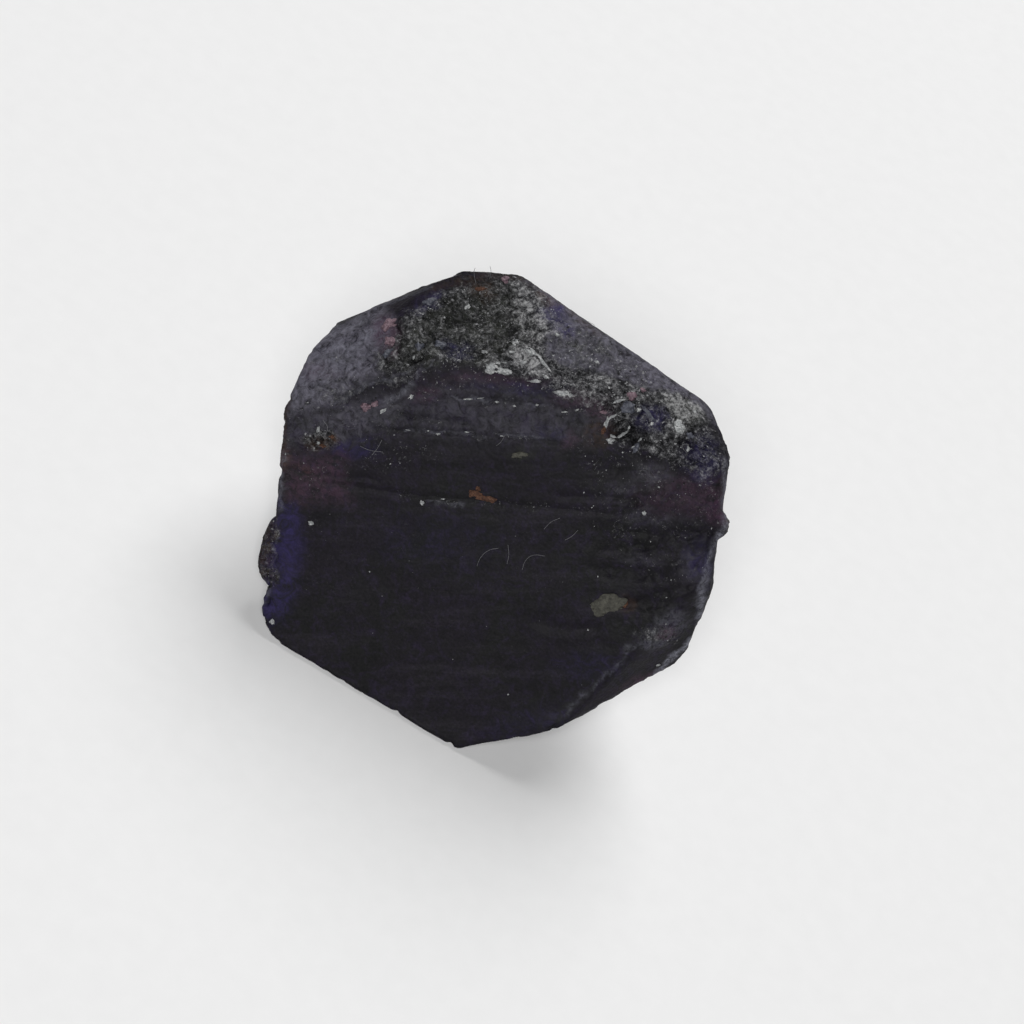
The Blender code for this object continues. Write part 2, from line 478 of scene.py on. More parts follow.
# What covers the stone where the photograph shows it.
FRONT_LOOKS: dict[Look, tuple[Mark, ...]] = {
    Look.CRUST: (
        Area(((372, 360), (385, 345), (398, 322), (425, 300), (455, 283), (515, 276), (540, 295),
              (546, 330), (548, 374), (520, 378), (480, 366), (440, 357), (410, 374), (385, 374)),
             soft=17.0),
        Area(((545, 360), (600, 372), (640, 385), (680, 392), (712, 425), (728, 470), (700, 480),
              (660, 456), (640, 450), (615, 442), (605, 415), (560, 396), (545, 385)), soft=13.0),
        Oval(335, 385, 44, 20, -25, soft=18.0, strength=0.46),
        Oval(690, 470, 34, 18, 40, soft=16.0, strength=0.40),
        Area(((525, 284), (548, 292), (600, 335), (645, 360), (660, 376), (640, 388), (548, 374),
              (536, 330)), soft=14.0, strength=0.5),
        Oval(268, 550, 10, 42, soft=4.0),
        Oval(727, 526, 7, 13, soft=4.0),
        Oval(716, 450, 14, 26, -15, soft=8.0, strength=0.7),
        Oval(318, 438, 19, 12, soft=6.0),
        Trace(((329, 400), (372, 385), (400, 378), (431, 363)), width=7.0, soft=6.0, strength=0.7),
        Trace(((312, 367), (338, 357), (367, 355)), width=5.0, soft=5.0, strength=0.6),
        Oval(655, 632, 20, 12, soft=8.0, strength=0.6),
    ),
    # Pale film, and painted sheen on the slopes that face the light and in faint hazes on the end face.
    Look.VEIL: (
        Area(((288, 385), (300, 350), (335, 326), (380, 304), (398, 322), (384, 350), (380, 374),
              (335, 398), (290, 418)), soft=9.0, strength=0.94),
        Area(((525, 280), (545, 286), (602, 330), (642, 350), (702, 400), (728, 430), (700, 415),
              (640, 386), (560, 368), (530, 340)), soft=8.0),
        Oval(350, 420, 60, 18, -15, soft=14.0, strength=0.45),
        Area(((500, 283), (545, 288), (560, 335), (522, 342), (505, 310)), soft=12.0, strength=0.85),
        Oval(500, 415, 110, 26, 3, soft=20.0, strength=0.28),
        Oval(655, 520, 30, 7, 4, soft=7.0, strength=0.24),
        Oval(692, 566, 12, 18, 10, soft=8.0, strength=0.24),
        Oval(640, 562, 18, 5, 8, soft=5.0, strength=0.22),
        Oval(620, 488, 20, 6, soft=6.0, strength=0.18),
    ),
    Look.PALE: (
        Area(((504, 287), (520, 284), (544, 296), (552, 330), (520, 334)), soft=12.0, strength=0.62),
        Area(((508, 345), (518, 334), (530, 348), (540, 355), (549, 374), (530, 372), (516, 362)),
             soft=5.0, strength=0.9),
        Area(((560, 384), (585, 376), (640, 384), (642, 398), (600, 402), (566, 398)), soft=6.0,
             strength=0.30),
        Oval(683, 410, 24, 13, 25, soft=8.0, strength=0.85),
        Oval(680, 428, 9, 7, soft=4.0, strength=0.75),
        Trace(((519, 300), (521, 318), (523, 332)), width=5.0, soft=5.0, strength=0.45),
        Oval(612, 410, 9, 6, soft=4.0, strength=0.2),
    ),
    # Painted highlights along the left and right edges, on ridges of the left shoulder and on the lips of
    # grooves, and pale frosted film in places.
    Look.FROST: (
        Trace(((728, 462), (726, 495), (718, 530), (711, 560), (704, 600), (700, 630)), width=5.0, soft=4.0,
              strength=0.75),
        Trace(((703, 630), (690, 648), (658, 676)), width=4.0, soft=3.0, strength=1.0),
        Trace(((455, 399), (470, 399), (486, 398)), width=0.8, soft=2.0, strength=0.9),
        Trace(((518, 404), (546, 404)), width=0.6, soft=1.8, strength=0.7),
        Trace(((402, 430), (440, 434), (510, 436), (546, 439)), width=0.6, soft=1.8, strength=0.75),
        Trace(((424, 499), (463, 501)), width=0.6, soft=1.8, strength=0.7),
        Trace(((385, 400), (397, 391), (410, 382)), width=3.0, soft=4.0, strength=0.5),
        Trace(((418, 378), (432, 360)), width=1.0, soft=2.0, strength=0.6),
        Trace(((538, 350), (547, 372)), width=1.0, soft=2.0, strength=0.8),
        Trace(((282, 452), (279, 480), (277, 508)), width=2.5, soft=2.5, strength=0.60),
        Trace(((274, 538), (271, 575), (269, 612)), width=2.5, soft=2.5, strength=0.45),
        Trace(((566, 716), (598, 684), (630, 648), (644, 637)), width=1.5, soft=2.5, strength=0.40),
        Trace(((297, 362), (322, 352), (352, 344), (378, 330)), width=1.6, soft=2.5, strength=0.80),
        Trace(((312, 345), (340, 335), (366, 318)), width=1.2, soft=2.4, strength=0.70),
        Trace(((302, 384), (336, 371), (372, 352)), width=1.4, soft=2.4, strength=0.65),
        Trace(((330, 403), (362, 388), (396, 376), (424, 362)), width=1.4, soft=2.4, strength=0.75),
        Trace(((290, 383), (301, 352), (334, 326), (376, 305), (430, 284)), width=3.0, soft=3.0,
              strength=0.45),
        Oval(662, 628, 22, 11, -30, soft=9.0, strength=0.30),
        Oval(655, 641, 15, 7, -10, soft=5.0, strength=0.35),
        Oval(655, 478, 18, 9, soft=8.0, strength=0.16),
        Oval(330, 365, 32, 12, -35, soft=10.0, strength=0.25),
        Oval(575, 360, 28, 9, 30, soft=8.0, strength=0.15),
    ),
    # Painted shade: a dark band along the edge by the ground, and darkness in the grooves and pits of the
    # end face.
    Look.HOLLOW: (
        Trace(((262, 636), (284, 660), (330, 687), (400, 724), (466, 754), (520, 743), (560, 727)),
              width=7.0, soft=9.0, strength=0.75),
        Trace(((455, 397), (500, 400), (545, 404), (602, 412)), width=3.0, soft=4.0, strength=0.65),
        Trace(((375, 429), (430, 432), (510, 436), (560, 442)), width=3.0, soft=4.0, strength=0.65),
        Trace(((325, 482), (400, 493), (465, 499), (575, 510), (630, 515)), width=2.5, soft=4.0,
              strength=0.5),
        Trace(((398, 413), (440, 420), (476, 423)), width=2.5, soft=3.0, strength=0.5),
        Trace(((286, 469), (325, 475), (378, 479)), width=2.5, soft=3.0, strength=0.5),
        Oval(470, 461, 120, 12, 4, soft=12.0, strength=0.22),
        Oval(668, 528, 46, 7, soft=6.0, strength=0.50),
        Oval(640, 590, 46, 13, 6, soft=9.0, strength=0.45),
        Oval(556, 632, 32, 10, 8, soft=8.0, strength=0.30),
        Oval(640, 548, 15, 5, soft=4.0, strength=0.35),
        Oval(588, 560, 16, 8, 20, soft=8.0, strength=0.25),
        Oval(620, 470, 16, 8, soft=6.0, strength=0.30),
        Oval(636, 432, 16, 13, soft=6.0, strength=0.40),
        Oval(700, 545, 14, 10, soft=6.0, strength=0.5),
        Oval(612, 520, 14, 6, 10, soft=5.0, strength=0.4),
        Oval(668, 575, 22, 6, -8, soft=5.0, strength=0.5),
        Oval(600, 590, 14, 5, soft=5.0, strength=0.35),
        Oval(655, 487, 22, 4, 6, soft=4.0, strength=0.35),
    ),
    Look.BLUE: (
        Area(((275, 500), (294, 505), (298, 560), (288, 610), (270, 630), (266, 560)), soft=12.0,
             strength=0.9),
        Oval(350, 447, 20, 8, soft=7.0, strength=0.9),
        Oval(440, 540, 55, 25, soft=18.0, strength=0.12),
        Oval(430, 303, 16, 9, -25, soft=7.0, strength=0.6),
        Oval(552, 312, 12, 9, soft=6.0),
        Oval(563, 326, 9, 6, soft=5.0, strength=0.7),
        Oval(456, 346, 15, 10, soft=7.0, strength=0.6),
        Oval(702, 460, 20, 22, soft=9.0, strength=0.5),
        Oval(590, 665, 32, 12, soft=10.0, strength=0.22),
        Oval(700, 560, 16, 18, soft=8.0, strength=0.45),
        Oval(548, 432, 14, 7, soft=6.0, strength=0.3),
        Oval(520, 388, 35, 6, soft=6.0, strength=0.35),
        Oval(650, 420, 16, 14, soft=6.0, strength=0.6),
        Oval(530, 722, 40, 12, -18, soft=10.0, strength=0.22),
    ),
    Look.MAROON: (
        Area(((285, 452), (345, 456), (350, 505), (284, 500)), soft=12.0, strength=0.6),
        Oval(690, 495, 45, 20, soft=12.0, strength=0.45),
        Oval(714, 506, 12, 15, soft=6.0, strength=0.65),
        Oval(580, 400, 26, 7, soft=6.0, strength=0.5),
        Oval(600, 411, 12, 6, soft=5.0, strength=0.8),
        Oval(425, 394, 16, 7, soft=6.0, strength=0.5),
        Oval(490, 380, 45, 5, soft=5.0, strength=0.45),
        Oval(645, 683, 24, 6, -15, soft=5.0, strength=0.7),
        Oval(664, 631, 11, 7, -20, soft=4.0, strength=0.7),
        Oval(388, 335, 14, 18, soft=7.0, strength=0.8),
        Oval(320, 372, 18, 6, soft=5.0, strength=0.4),
        Oval(568, 438, 8, 10, soft=5.0, strength=0.5),
    ),
    Look.RUST: (
        Oval(318, 441, 15, 7, soft=5.0, strength=0.8),
        Oval(331, 438, 5, 4, soft=3.0),
        Oval(600, 434, 16, 13, soft=7.0, strength=0.5),
        Trace(((288, 385), (284, 450), (282, 470)), width=4.0, soft=3.0, strength=0.7),
        Oval(482, 288, 12, 6, soft=5.0, strength=0.6),
        Oval(548, 299, 11, 6, 35, soft=5.0, strength=0.6),
        Trace(((432, 285), (480, 277), (520, 278), (545, 292), (600, 334)), width=5.0, soft=6.0,
              strength=0.45),
        Oval(267, 545, 9, 38, soft=5.0, strength=0.55),
        Oval(728, 525, 6, 11, soft=4.0, strength=0.6),
        Oval(302, 467, 9, 3, soft=3.0, strength=0.6),
        Oval(626, 604, 7, 8, soft=4.0, strength=0.5),
    ),
    Look.GREEN: (
        Area(((385, 368), (405, 335), (445, 295), (510, 285), (532, 330), (480, 368)), soft=10.0,
             strength=0.8),
        Oval(684, 411, 25, 14, 25, soft=8.0, strength=0.8),
        Oval(267, 550, 10, 42, soft=5.0, strength=0.9),
        Oval(727, 526, 7, 13, soft=4.0, strength=0.9),
        Oval(522, 455, 13, 6, soft=5.0, strength=0.7),
        Oval(562, 712, 25, 6, -30, soft=6.0, strength=0.5),
        Oval(595, 350, 35, 18, 20, soft=12.0, strength=0.4),
    ),
    # Pale flecks of dust and mica with painted glints among them, and where grains and lint are strewn.
    Look.SPECKS: (
        Area(((372, 360), (398, 322), (455, 283), (515, 276), (600, 335), (680, 392), (728, 470),
              (700, 485), (640, 455), (600, 415), (548, 390), (480, 385), (410, 385)), soft=10.0),
        Area(((285, 400), (400, 365), (440, 365), (440, 460), (285, 505)), soft=14.0, strength=0.34),
        Trace(((455, 399), (490, 401), (545, 405), (580, 411)), width=5.0, soft=4.0),
        Trace(((400, 431), (440, 434), (510, 437), (545, 440)), width=4.0, soft=4.0, strength=0.8),
        Trace(((395, 496), (465, 500), (520, 504), (600, 512)), width=6.0, soft=5.0, strength=0.7),
        Area(((560, 410), (728, 450), (722, 560), (660, 600), (600, 540)), soft=14.0, strength=0.35),
        Area(((600, 420), (728, 450), (726, 480), (690, 500), (610, 470)), soft=12.0, strength=0.60),
        Oval(645, 432, 34, 22, 20, soft=8.0),
        Area(((290, 500), (450, 500), (430, 580), (300, 600)), soft=20.0, strength=0.06),
        Oval(560, 590, 130, 90, soft=30.0, strength=0.04),
        Oval(430, 660, 130, 70, 30, soft=30.0, strength=0.02),
    ),
}


@dataclass(frozen=True)
class Carving:
    """A place where the surface is lower than the facet, by depth millimetres."""

    mark: Mark
    depth: float


# Grooves, holes and hollows that the photograph shows.
FRONT_CARVINGS: tuple[Carving, ...] = (
    Carving(Trace(((452, 399), (490, 401), (545, 405), (602, 413)), width=3.0, soft=3.5), 0.13),
    Carving(Trace(((375, 430), (430, 433), (510, 437), (560, 443)), width=3.0, soft=3.5), 0.13),
    Carving(Trace(((325, 483), (345, 485), (400, 494), (465, 500), (520, 505), (575, 511), (630, 516)),
                  width=3.0, soft=3.0), 0.10),
    Carving(Trace(((398, 414), (440, 421), (476, 424)), width=2.5, soft=3.0), 0.10),
    Carving(Trace(((286, 470), (325, 476), (378, 480)), width=2.5, soft=3.0), 0.07),
    Carving(Trace(((390, 404), (425, 408)), width=2.0, soft=3.0), 0.07),
    Carving(Trace(((560, 497), (612, 497), (650, 505)), width=4.0, soft=4.0), 0.09),
    Carving(Area(((385, 364), (420, 336), (455, 305), (505, 292), (527, 330), (490, 358), (440, 350)),
                 soft=14.0), 0.35),
    Carving(Oval(412, 357, 10, 6, -20, soft=5.0), 0.35),
    Carving(Oval(431, 330, 9, 6, soft=5.0), 0.30),
    Carving(Trace(((398, 367), (415, 361), (432, 357)), width=4.0, soft=4.0), 0.25),
    Carving(Trace(((395, 320), (402, 336), (396, 352)), width=4.0, soft=4.0), 0.22),
    Carving(Oval(622, 429, 12, 8, -20, soft=4.0), 0.48),
    Carving(Oval(640, 436, 9, 10, soft=4.0), 0.35),
    Carving(Oval(610, 408, 8, 6, soft=4.0), 0.25),
    Carving(Trace(((663, 411), (672, 414), (684, 423)), width=1.5, soft=2.0), 0.20),
    Carving(Oval(318, 441, 14, 5, 10, soft=5.0), 0.22),
    Carving(Area(((596, 530), (640, 515), (722, 520), (706, 600), (640, 606), (600, 575)), soft=14.0), 0.12),
    Carving(Oval(640, 548, 15, 4, soft=4.0), 0.14),
    Carving(Oval(632, 572, 30, 8, 5, soft=6.0), 0.16),
    Carving(Oval(652, 605, 30, 5, soft=5.0), 0.13),
    Carving(Oval(550, 625, 15, 7, 15, soft=6.0), 0.11),
    Carving(Oval(584, 629, 14, 5, soft=5.0), 0.10),
    Carving(Oval(690, 588, 18, 4, -10, soft=4.0), 0.12),
    Carving(Oval(650, 533, 10, 4, soft=4.0), 0.12),
    Carving(Oval(700, 534, 16, 4, soft=4.0), 0.10),
    Carving(Oval(615, 470, 14, 6, soft=5.0), 0.08),
    Carving(Trace(((597, 545), (618, 532), (641, 517)), width=3.0, soft=4.0), -0.04),
)


@dataclass
class Surface:
    """A mesh's points as arrays, in crystal millimetres."""

    mesh: bpy.types.Mesh

    def __post_init__(self) -> None:
        """Read the points, their normals and the edges."""
        count = len(self.mesh.vertices)
        self.points = np.empty(count * 3, np.float32)
        self.mesh.vertices.foreach_get("co", self.points)
        self.points = self.points.reshape(-1, 3).astype(np.float64)
        self.edges = np.empty(len(self.mesh.edges) * 2, np.int32)
        self.mesh.edges.foreach_get("vertices", self.edges)
        self.edges = self.edges.reshape(-1, 2)
        self.read_normals()

    def read_normals(self) -> None:
        """Read the outward direction at each point."""
        flat = np.empty(len(self.mesh.vertices) * 3, np.float32)
        self.mesh.vertex_normals.foreach_get("vector", flat)
        self.normals = flat.reshape(-1, 3).astype(np.float64)

    def spread(self, values: Array, rounds: int) -> Array:
        """Blur values over the surface.

        Args:
            values: One value for each point.
            rounds: How often each point takes the mean of itself and its neighbours.

        Returns:
            The blurred values.
        """
        first, second = self.edges[:, 0], self.edges[:, 1]
        count = len(self.points)
        neighbours = np.bincount(first, minlength=count) + np.bincount(second, minlength=count)
        for _ in range(rounds):
            total = np.bincount(first, values[second], count) + np.bincount(second, values[first], count)
            values = 0.5 * values + 0.5 * total / neighbours
        return values

    def push(self, heights: Array, along: Array) -> None:
        """Move each point by its height along a direction, and write the mesh."""
        self.points = self.points + along * heights[:, None]
        self.mesh.vertices.foreach_set("co", self.points.astype(np.float32).ravel())
        self.mesh.update()
        self.read_normals()

    def store(self, name: str, values: Array) -> None:
        """Keep values on the mesh as an attribute."""
        attribute = self.mesh.attributes.new(name, "FLOAT", "POINT")
        attribute.data.foreach_set("value", values.astype(np.float32))


@dataclass(frozen=True)
class EndFace:
    """Growth lines and gentle waves on the end face, torn open towards its top and its right.

    Its fades are in pixels of the photograph, and depths here and below are in millimetres.
    """

    turn_deg: float = PhotoView.roll_deg
    stretch: float = 0.16
    lines: Wave = Wave(0.9, 61, 4, 0.6)
    waves: Wave = Wave(3.2, 67, 3)
    grain: Wave = Wave(0.45, 71, 3, 0.6)
    tears: Wave = Wave(1.4, 73, 5, 0.65)
    bend: float = 0.3
    upper_fade: Fade = (520.0, 380.0)
    torn_fade: Fade = (470.0, 400.0)
    right_fade: Fade = (560.0, 660.0)
    above_foot_fade: Fade = (680.0, 600.0)
    torn_top: float = 0.65
    wave_depth: float = 0.05
    line_depth: float = 0.020
    torn_line_depth: float = 0.045
    grain_depth: float = 0.010
    torn_grain_depth: float = 0.02
    pit_depth: float = 0.26
    pit_lip: float = 0.12
    sunk: float = 0.05

    def heights(self, points: Array, at: Array) -> Array:
        """Work out the relief.

        Args:
            points: The stone's points.
            at: Where they show in the photograph.

        Returns:
            How far each stands out.
        """
        turn = math.radians(self.turn_deg)
        along = points[:, 0] * math.cos(turn) + points[:, 1] * math.sin(turn)
        across = points[:, 1] * math.cos(turn) - points[:, 0] * math.sin(turn)
        lines = self.lines.at(np.stack([along * self.stretch, across, points[:, 2]], axis=1))
        right = smooth(*self.right_fade, at[:, 0]) * smooth(*self.above_foot_fade, at[:, 1])
        upper = np.maximum(smooth(*self.upper_fade, at[:, 1]), right)
        torn = np.maximum(self.torn_top * smooth(*self.torn_fade, at[:, 1]), right)
        pits = np.minimum(self.tears.at(points + self.bend * lines[:, None]), self.pit_lip) * torn
        total = self.wave_depth * self.waves.at(points) + self.pit_depth * pits - self.sunk
        total += (self.line_depth + self.torn_line_depth * upper) * lines
        return total + (self.grain_depth + self.torn_grain_depth * torn) * self.grain.at(points)


@dataclass(frozen=True)
class Steps:
    """Steps square to the long axis: how far they drift, and where each has risen and where it drops."""

    per_mm: float
    drift: float
    risen: float
    dropping: float
    depth: float

    def heights(self, points: Array, drift: Array) -> Array:
        """How far each point stands out, 0 or less, where drift bends the steps."""
        place = (points[:, 2] * self.per_mm + self.drift * drift) % 1.0
        return self.depth * (smooth(0.0, self.risen, place) - smooth(self.dropping, 1.0, place) - 1.0)


@dataclass(frozen=True)
class Sides:
    """Steps and finer grooves that run round the sides."""

    steps: Steps = Steps(0.62, 0.9, 0.75, 0.88, 0.13)
    grooves: Steps = Steps(2.1, 1.3, 0.5, 0.75, 0.05)
    drift: Wave = Wave(5.0, 83, 3)
    fading: Wave = Wave(2.5, 89, 3)
    fade: Fade = (-0.35, 0.35)
    faded_step: float = 0.4
    rough: Wave = Wave(0.9, 97, 4, 0.6)
    rough_depth: float = 0.05

    def heights(self, points: Array) -> Array:
        """How far each point stands out."""
        drift = self.drift.at(points)
        fade = smooth(*self.fade, self.fading.at(points))
        steps = self.steps.heights(points, drift) * (self.faded_step + (1.0 - self.faded_step) * fade)
        return steps + self.grooves.heights(points, drift) * fade + self.rough_depth * self.rough.at(points)


@dataclass(frozen=True)
class Break:
    """The uneven fracture at the back, with ridges."""

    ridges: Wave = Wave(3.5, 101)
    ridge_depth: float = 0.45
    rough: Wave = Wave(1.1, 103, 4, 0.6)
    rough_depth: float = 0.10

    def heights(self, points: Array) -> Array:
        """How far each point stands out."""
        return self.rough_depth * self.rough.at(points) - self.ridge_depth * np.abs(self.ridges.at(points))


@dataclass(frozen=True)
class Rubble:
    """The crust: rounded grains of several sizes, with cracks between them."""

    bending: Wave = Wave(0.4, 5, 1)
    bend: float = 0.12
    pebble: float = 0.62
    pebble_seed: int = 107
    pebble_height: float = 0.20
    least_pebble: float = 0.2
    patches: Wave = Wave(1.1, 111, 3)
    patch_fade: Fade = (-0.2, 0.4)
    lumps: Wave = Wave(1.7, 113, 5, 0.62)
    lump_height: float = 0.22
    cracks: Wave = Wave(0.7, 115, 3, 0.6)
    crack_fade: Fade = (0.82, 1.0)
    crack_depth: float = 0.10
    thickness: float = 0.05

    def heights(self, points: Array) -> Array:
        """How far the crust stands out at each point."""
        bent = points + self.bend * self.bending.at(points)[:, None]
        wall, own = Noise.pebbles(bent, self.pebble, self.pebble_seed)
        pebbles = smooth(0.0, 0.5, wall) * (self.least_pebble + (1.0 - self.least_pebble) * own)
        pebbles *= smooth(*self.patch_fade, self.patches.at(points))
        cracks = smooth(*self.crack_fade, 1.0 - np.abs(self.cracks.at(bent)))
        total = self.thickness + self.lump_height * self.lumps.at(points)
        return total + self.pebble_height * pebbles - self.crack_depth * cracks


@dataclass(frozen=True)
class Swelling:
    """The rounded lower left edge of the end face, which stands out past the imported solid's facet.

    turn_deg is the way it faces across the end face and reach how far out its facet is. It fades with the
    distance beyond the facet, behind the end face, above the ground and up the end face.
    """

    depth: float = 0.50
    turn_deg: float = 231.0
    reach: float = 3.15
    waver: Wave = Wave(1.8, 139, 3, 0.6)
    waver_share: float = 0.25
    beyond_fade: Fade = (-1.7, -0.2)
    behind_fade: Fade = (-3.0, -0.8)
    above_fade: Fade = (0.2, 1.6)
    up_fade: Fade = (5.2, 2.6)

    def way(self) -> Array:
        """The way the edge faces, in the crystal's frame."""
        turn = math.radians(self.turn_deg)
        return np.array((math.cos(turn), math.sin(turn), 0.0))

    def heights(self, points: Array, down: Vector) -> Array:
        """Work out the swelling.

        Args:
            points: The stone's points.
            down: The way to the ground.

        Returns:
            How far each moves outwards.
        """
        near = smooth(*self.beyond_fade, points @ self.way() - self.reach)
        near *= smooth(*self.behind_fade, points[:, 2]) * smooth(*self.up_fade, points[:, 1])
        near *= smooth(*self.above_fade, points @ -np.array(down))
        return self.depth * (1.0 + self.waver_share * self.waver.at(points)) * near


@dataclass(frozen=True)
class Patches:
    """Where a look lies on the hidden sides: where the noise is past its fade."""

    wave: Wave
    fade: Fade
    strength: float

    def weight(self, points: Array) -> Array:
        """How strongly it covers each point."""
        return self.strength * smooth(*self.fade, self.wave.at(points))


BROAD = Wave(6.0, 11, 4, 0.55)
OTHER = Wave(3.5, 23, 4, 0.6)
HIDDEN_PATCHES = {
    Look.MAROON: Patches(Wave(4.5, 31, 3), (0.35, 0.65), 0.6),
    Look.RUST: Patches(Wave(2.6, 37, 4, 0.6), (0.42, 0.7), 0.8),
    Look.GREEN: Patches(Wave(3.0, 41, 3), (0.2, 0.6), 0.6),
    Look.FROST: Patches(Wave(1.8, 43, 4, 0.6), (0.35, 0.75), 0.30),
    # Dark patches at random on the hidden sides, under the same look as the painted shade.
    Look.HOLLOW: Patches(Wave(1.5, 47, 4, 0.6), (0.35, 0.75), 0.40),
}


@dataclass
class Crystal:
    """The crystal: its facets, the relief on them and what covers them, in crystal millimetres.

    calm_rounds is how far the facets' directions are blurred, and low_rounds how far around a point its
    hollows are measured for the painted shade in them. The slope, end, back and rest fades tell the kinds of
    facet apart by those directions. knob is the middle of the crust lump at the left. Wavers and strays,
    which make marks ragged, are in pixels, and depths and sinkings in millimetres.
    """

    place: CrystalFrame
    view: PhotoView
    grid: float = 0.085
    most_triangles: int = 192_000
    calm_rounds: int = 14
    low_rounds: int = 24
    cavity_shade_fade: Fade = (0.015, 0.16)
    edge_fade: Fade = (0.985, 0.93)
    seen_fade: Fade = (-0.02, 0.12)
    slope_fade: Fade = (0.15, 0.4)
    end_fade: Fade = (0.90, 0.985)
    back_fade: Fade = (-0.45, -0.75)
    rest_fade: Fade = (0.97, 0.995)
    knob: tuple[float, float, float] = (-6.78, 3.85, -1.40)
    knob_fade: Fade = (2.4, 1.5)
    ragged: tuple[Wave, Wave] = (Wave(0.8, 50, 3, 0.6), Wave(0.8, 51, 3, 0.6))
    look_waver: float = 4.0
    relief_waver: float = 2.0
    straying: Wave = Wave(2.2, 57, 4, 0.65)
    look_stray: float = 7.0
    slope_waves: Wave = Wave(2.2, 131, 5, 0.55)
    slope_depth: float = 0.07
    slope_sunk: float = 0.03
    chipping: Wave = Wave(1.4, 127, 3, 0.6)
    chip_fade: Fade = (0.05, 0.6)
    chip_depth: float = 0.22
    rest_sunk: float = 0.02
    hidden_by_crust: float = 0.7
    outline_fade: Fade = (0.35, 0.05)
    outline_thinning: float = 0.85
    looks: dict[Look, Array] = field(default_factory=dict)

    def base(self, node: bpy.types.Object) -> bpy.types.Mesh:
        """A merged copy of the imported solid, rebuilt as an even fine grid.

        Args:
            node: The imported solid's object.

        Returns:
            A new mesh in crystal millimetres.
        """
        shape = bmesh.new()
        shape.from_mesh(node.data)
        bmesh.ops.remove_doubles(shape, verts=shape.verts[:], dist=1e-7)
        shape.transform(self.place.to_row().inverted())
        coarse = bpy.data.meshes.new("coarse")
        shape.to_mesh(coarse)
        shape.free()
        holder = new_object("coarse", coarse)
        remesh = holder.modifiers.new("even_grid", "REMESH")
        remesh.mode = "VOXEL"
        remesh.voxel_size = self.grid
        return baked(holder)

    def region_weights(self, calm: Array) -> dict[str, Array]:
        """How much each point belongs to each kind of facet.

        Args:
            calm: Blurred normals.

        Returns:
            Weights for the end face, the slopes round it, the sides, the back and the rest facet.
        """
        lift = calm[:, 2]
        slope = smooth(*self.slope_fade, lift)
        end = smooth(*self.end_fade, lift)
        back = smooth(*self.back_fade, lift)
        rest = smooth(*self.rest_fade, calm @ np.array(self.place.down()))
        sides = (1.0 - slope) * (1.0 - back) * (1.0 - rest)
        return {"end": end, "slopes": slope * (1.0 - end), "sides": sides, "back": back, "rest": rest}

    def pixels(self, points: Array, waver: float) -> Array:
        """Where points show in the photograph, wavering by so many pixels, to make marks ragged."""
        wavers = [waver * wave.at(points) for wave in self.ragged]
        return self.view.project(points) + np.stack(wavers, axis=1)

    def hidden_looks(self, surface: Surface, back: Array) -> dict[Look, Array]:
        """What covers the sides that the photograph hides: a guess, after what it shows.

        Args:
            surface: The stone's surface.
            back: How much each point belongs to the back.

        Returns:
            The strength of each look at each point.
        """
        points = surface.points
        broad = BROAD.at(points)
        other = OTHER.at(points)
        up = -(surface.normals @ np.array(self.place.down()))
        knob = smooth(*self.knob_fade, np.linalg.norm(points - np.array(self.knob), axis=1))
        crusted = smooth(0.30, 0.55, broad + 0.25 * smooth(0.2, 0.9, up)) + 0.25 * back
        patches = {look: rule.weight(points) for look, rule in HIDDEN_PATCHES.items()}
        return patches | {
            Look.CRUST: np.maximum(crusted, knob),
            # Pale film in noise patches, with painted sheen added where the sides face up.
            Look.VEIL: smooth(-0.1, 0.7, other) * 0.6 + 0.3 * smooth(0.3, 0.9, up),
            Look.PALE: smooth(0.55, 0.8, other) * smooth(0.1, 0.4, broad) * 0.7,
            Look.BLUE: smooth(0.15, 0.5, -broad) * 0.6,
            Look.SPECKS: smooth(0.0, 0.6, broad) * 0.6 + 0.12,
        }

    def paint(self, surface: Surface, back: Array, seen: Array) -> None:
        """Work out what covers each point, from the photograph in front and by rule elsewhere.

        Args:
            surface: The stone's surface.
            back: How much each point belongs to the back.
            seen: How much each point faces the camera.
        """
        at = self.pixels(surface.points, self.look_waver)
        at += self.look_stray * self.straying.at(surface.points)[:, None]
        for look, hidden in self.hidden_looks(surface, back).items():
            front = np.max([mark.weight(at) for mark in FRONT_LOOKS[look]], axis=0)
            self.looks[look] = np.clip(front * seen + hidden * (1.0 - seen), 0.0, 1.0)

    def relief(self, points: Array, weights: dict[str, Array], edge: Array, seen: Array) -> Array:
        """The relief of the crystal itself, under its crust.

        Args:
            points: The stone's points.
            weights: How much each belongs to each kind of facet.
            edge: How near each is to an edge between facets.
            seen: How much each faces the camera.

        Returns:
            How far each stands out.
        """
        at = self.pixels(points, self.relief_waver)
        bare = 1.0 - self.hidden_by_crust * self.looks[Look.CRUST]
        height = weights["end"] * EndFace().heights(points, at) * bare
        height += weights["slopes"] * (self.slope_depth * self.slope_waves.at(points) - self.slope_sunk)
        height += weights["sides"] * Sides().heights(points) * bare
        height += weights["back"] * Break().heights(points)
        height -= seen * sum(carving.depth * carving.mark.weight(at) for carving in FRONT_CARVINGS)
        height -= self.chip_depth * edge * smooth(*self.chip_fade, self.chipping.at(points))
        return height * (1.0 - weights["rest"]) - self.rest_sunk * weights["rest"]

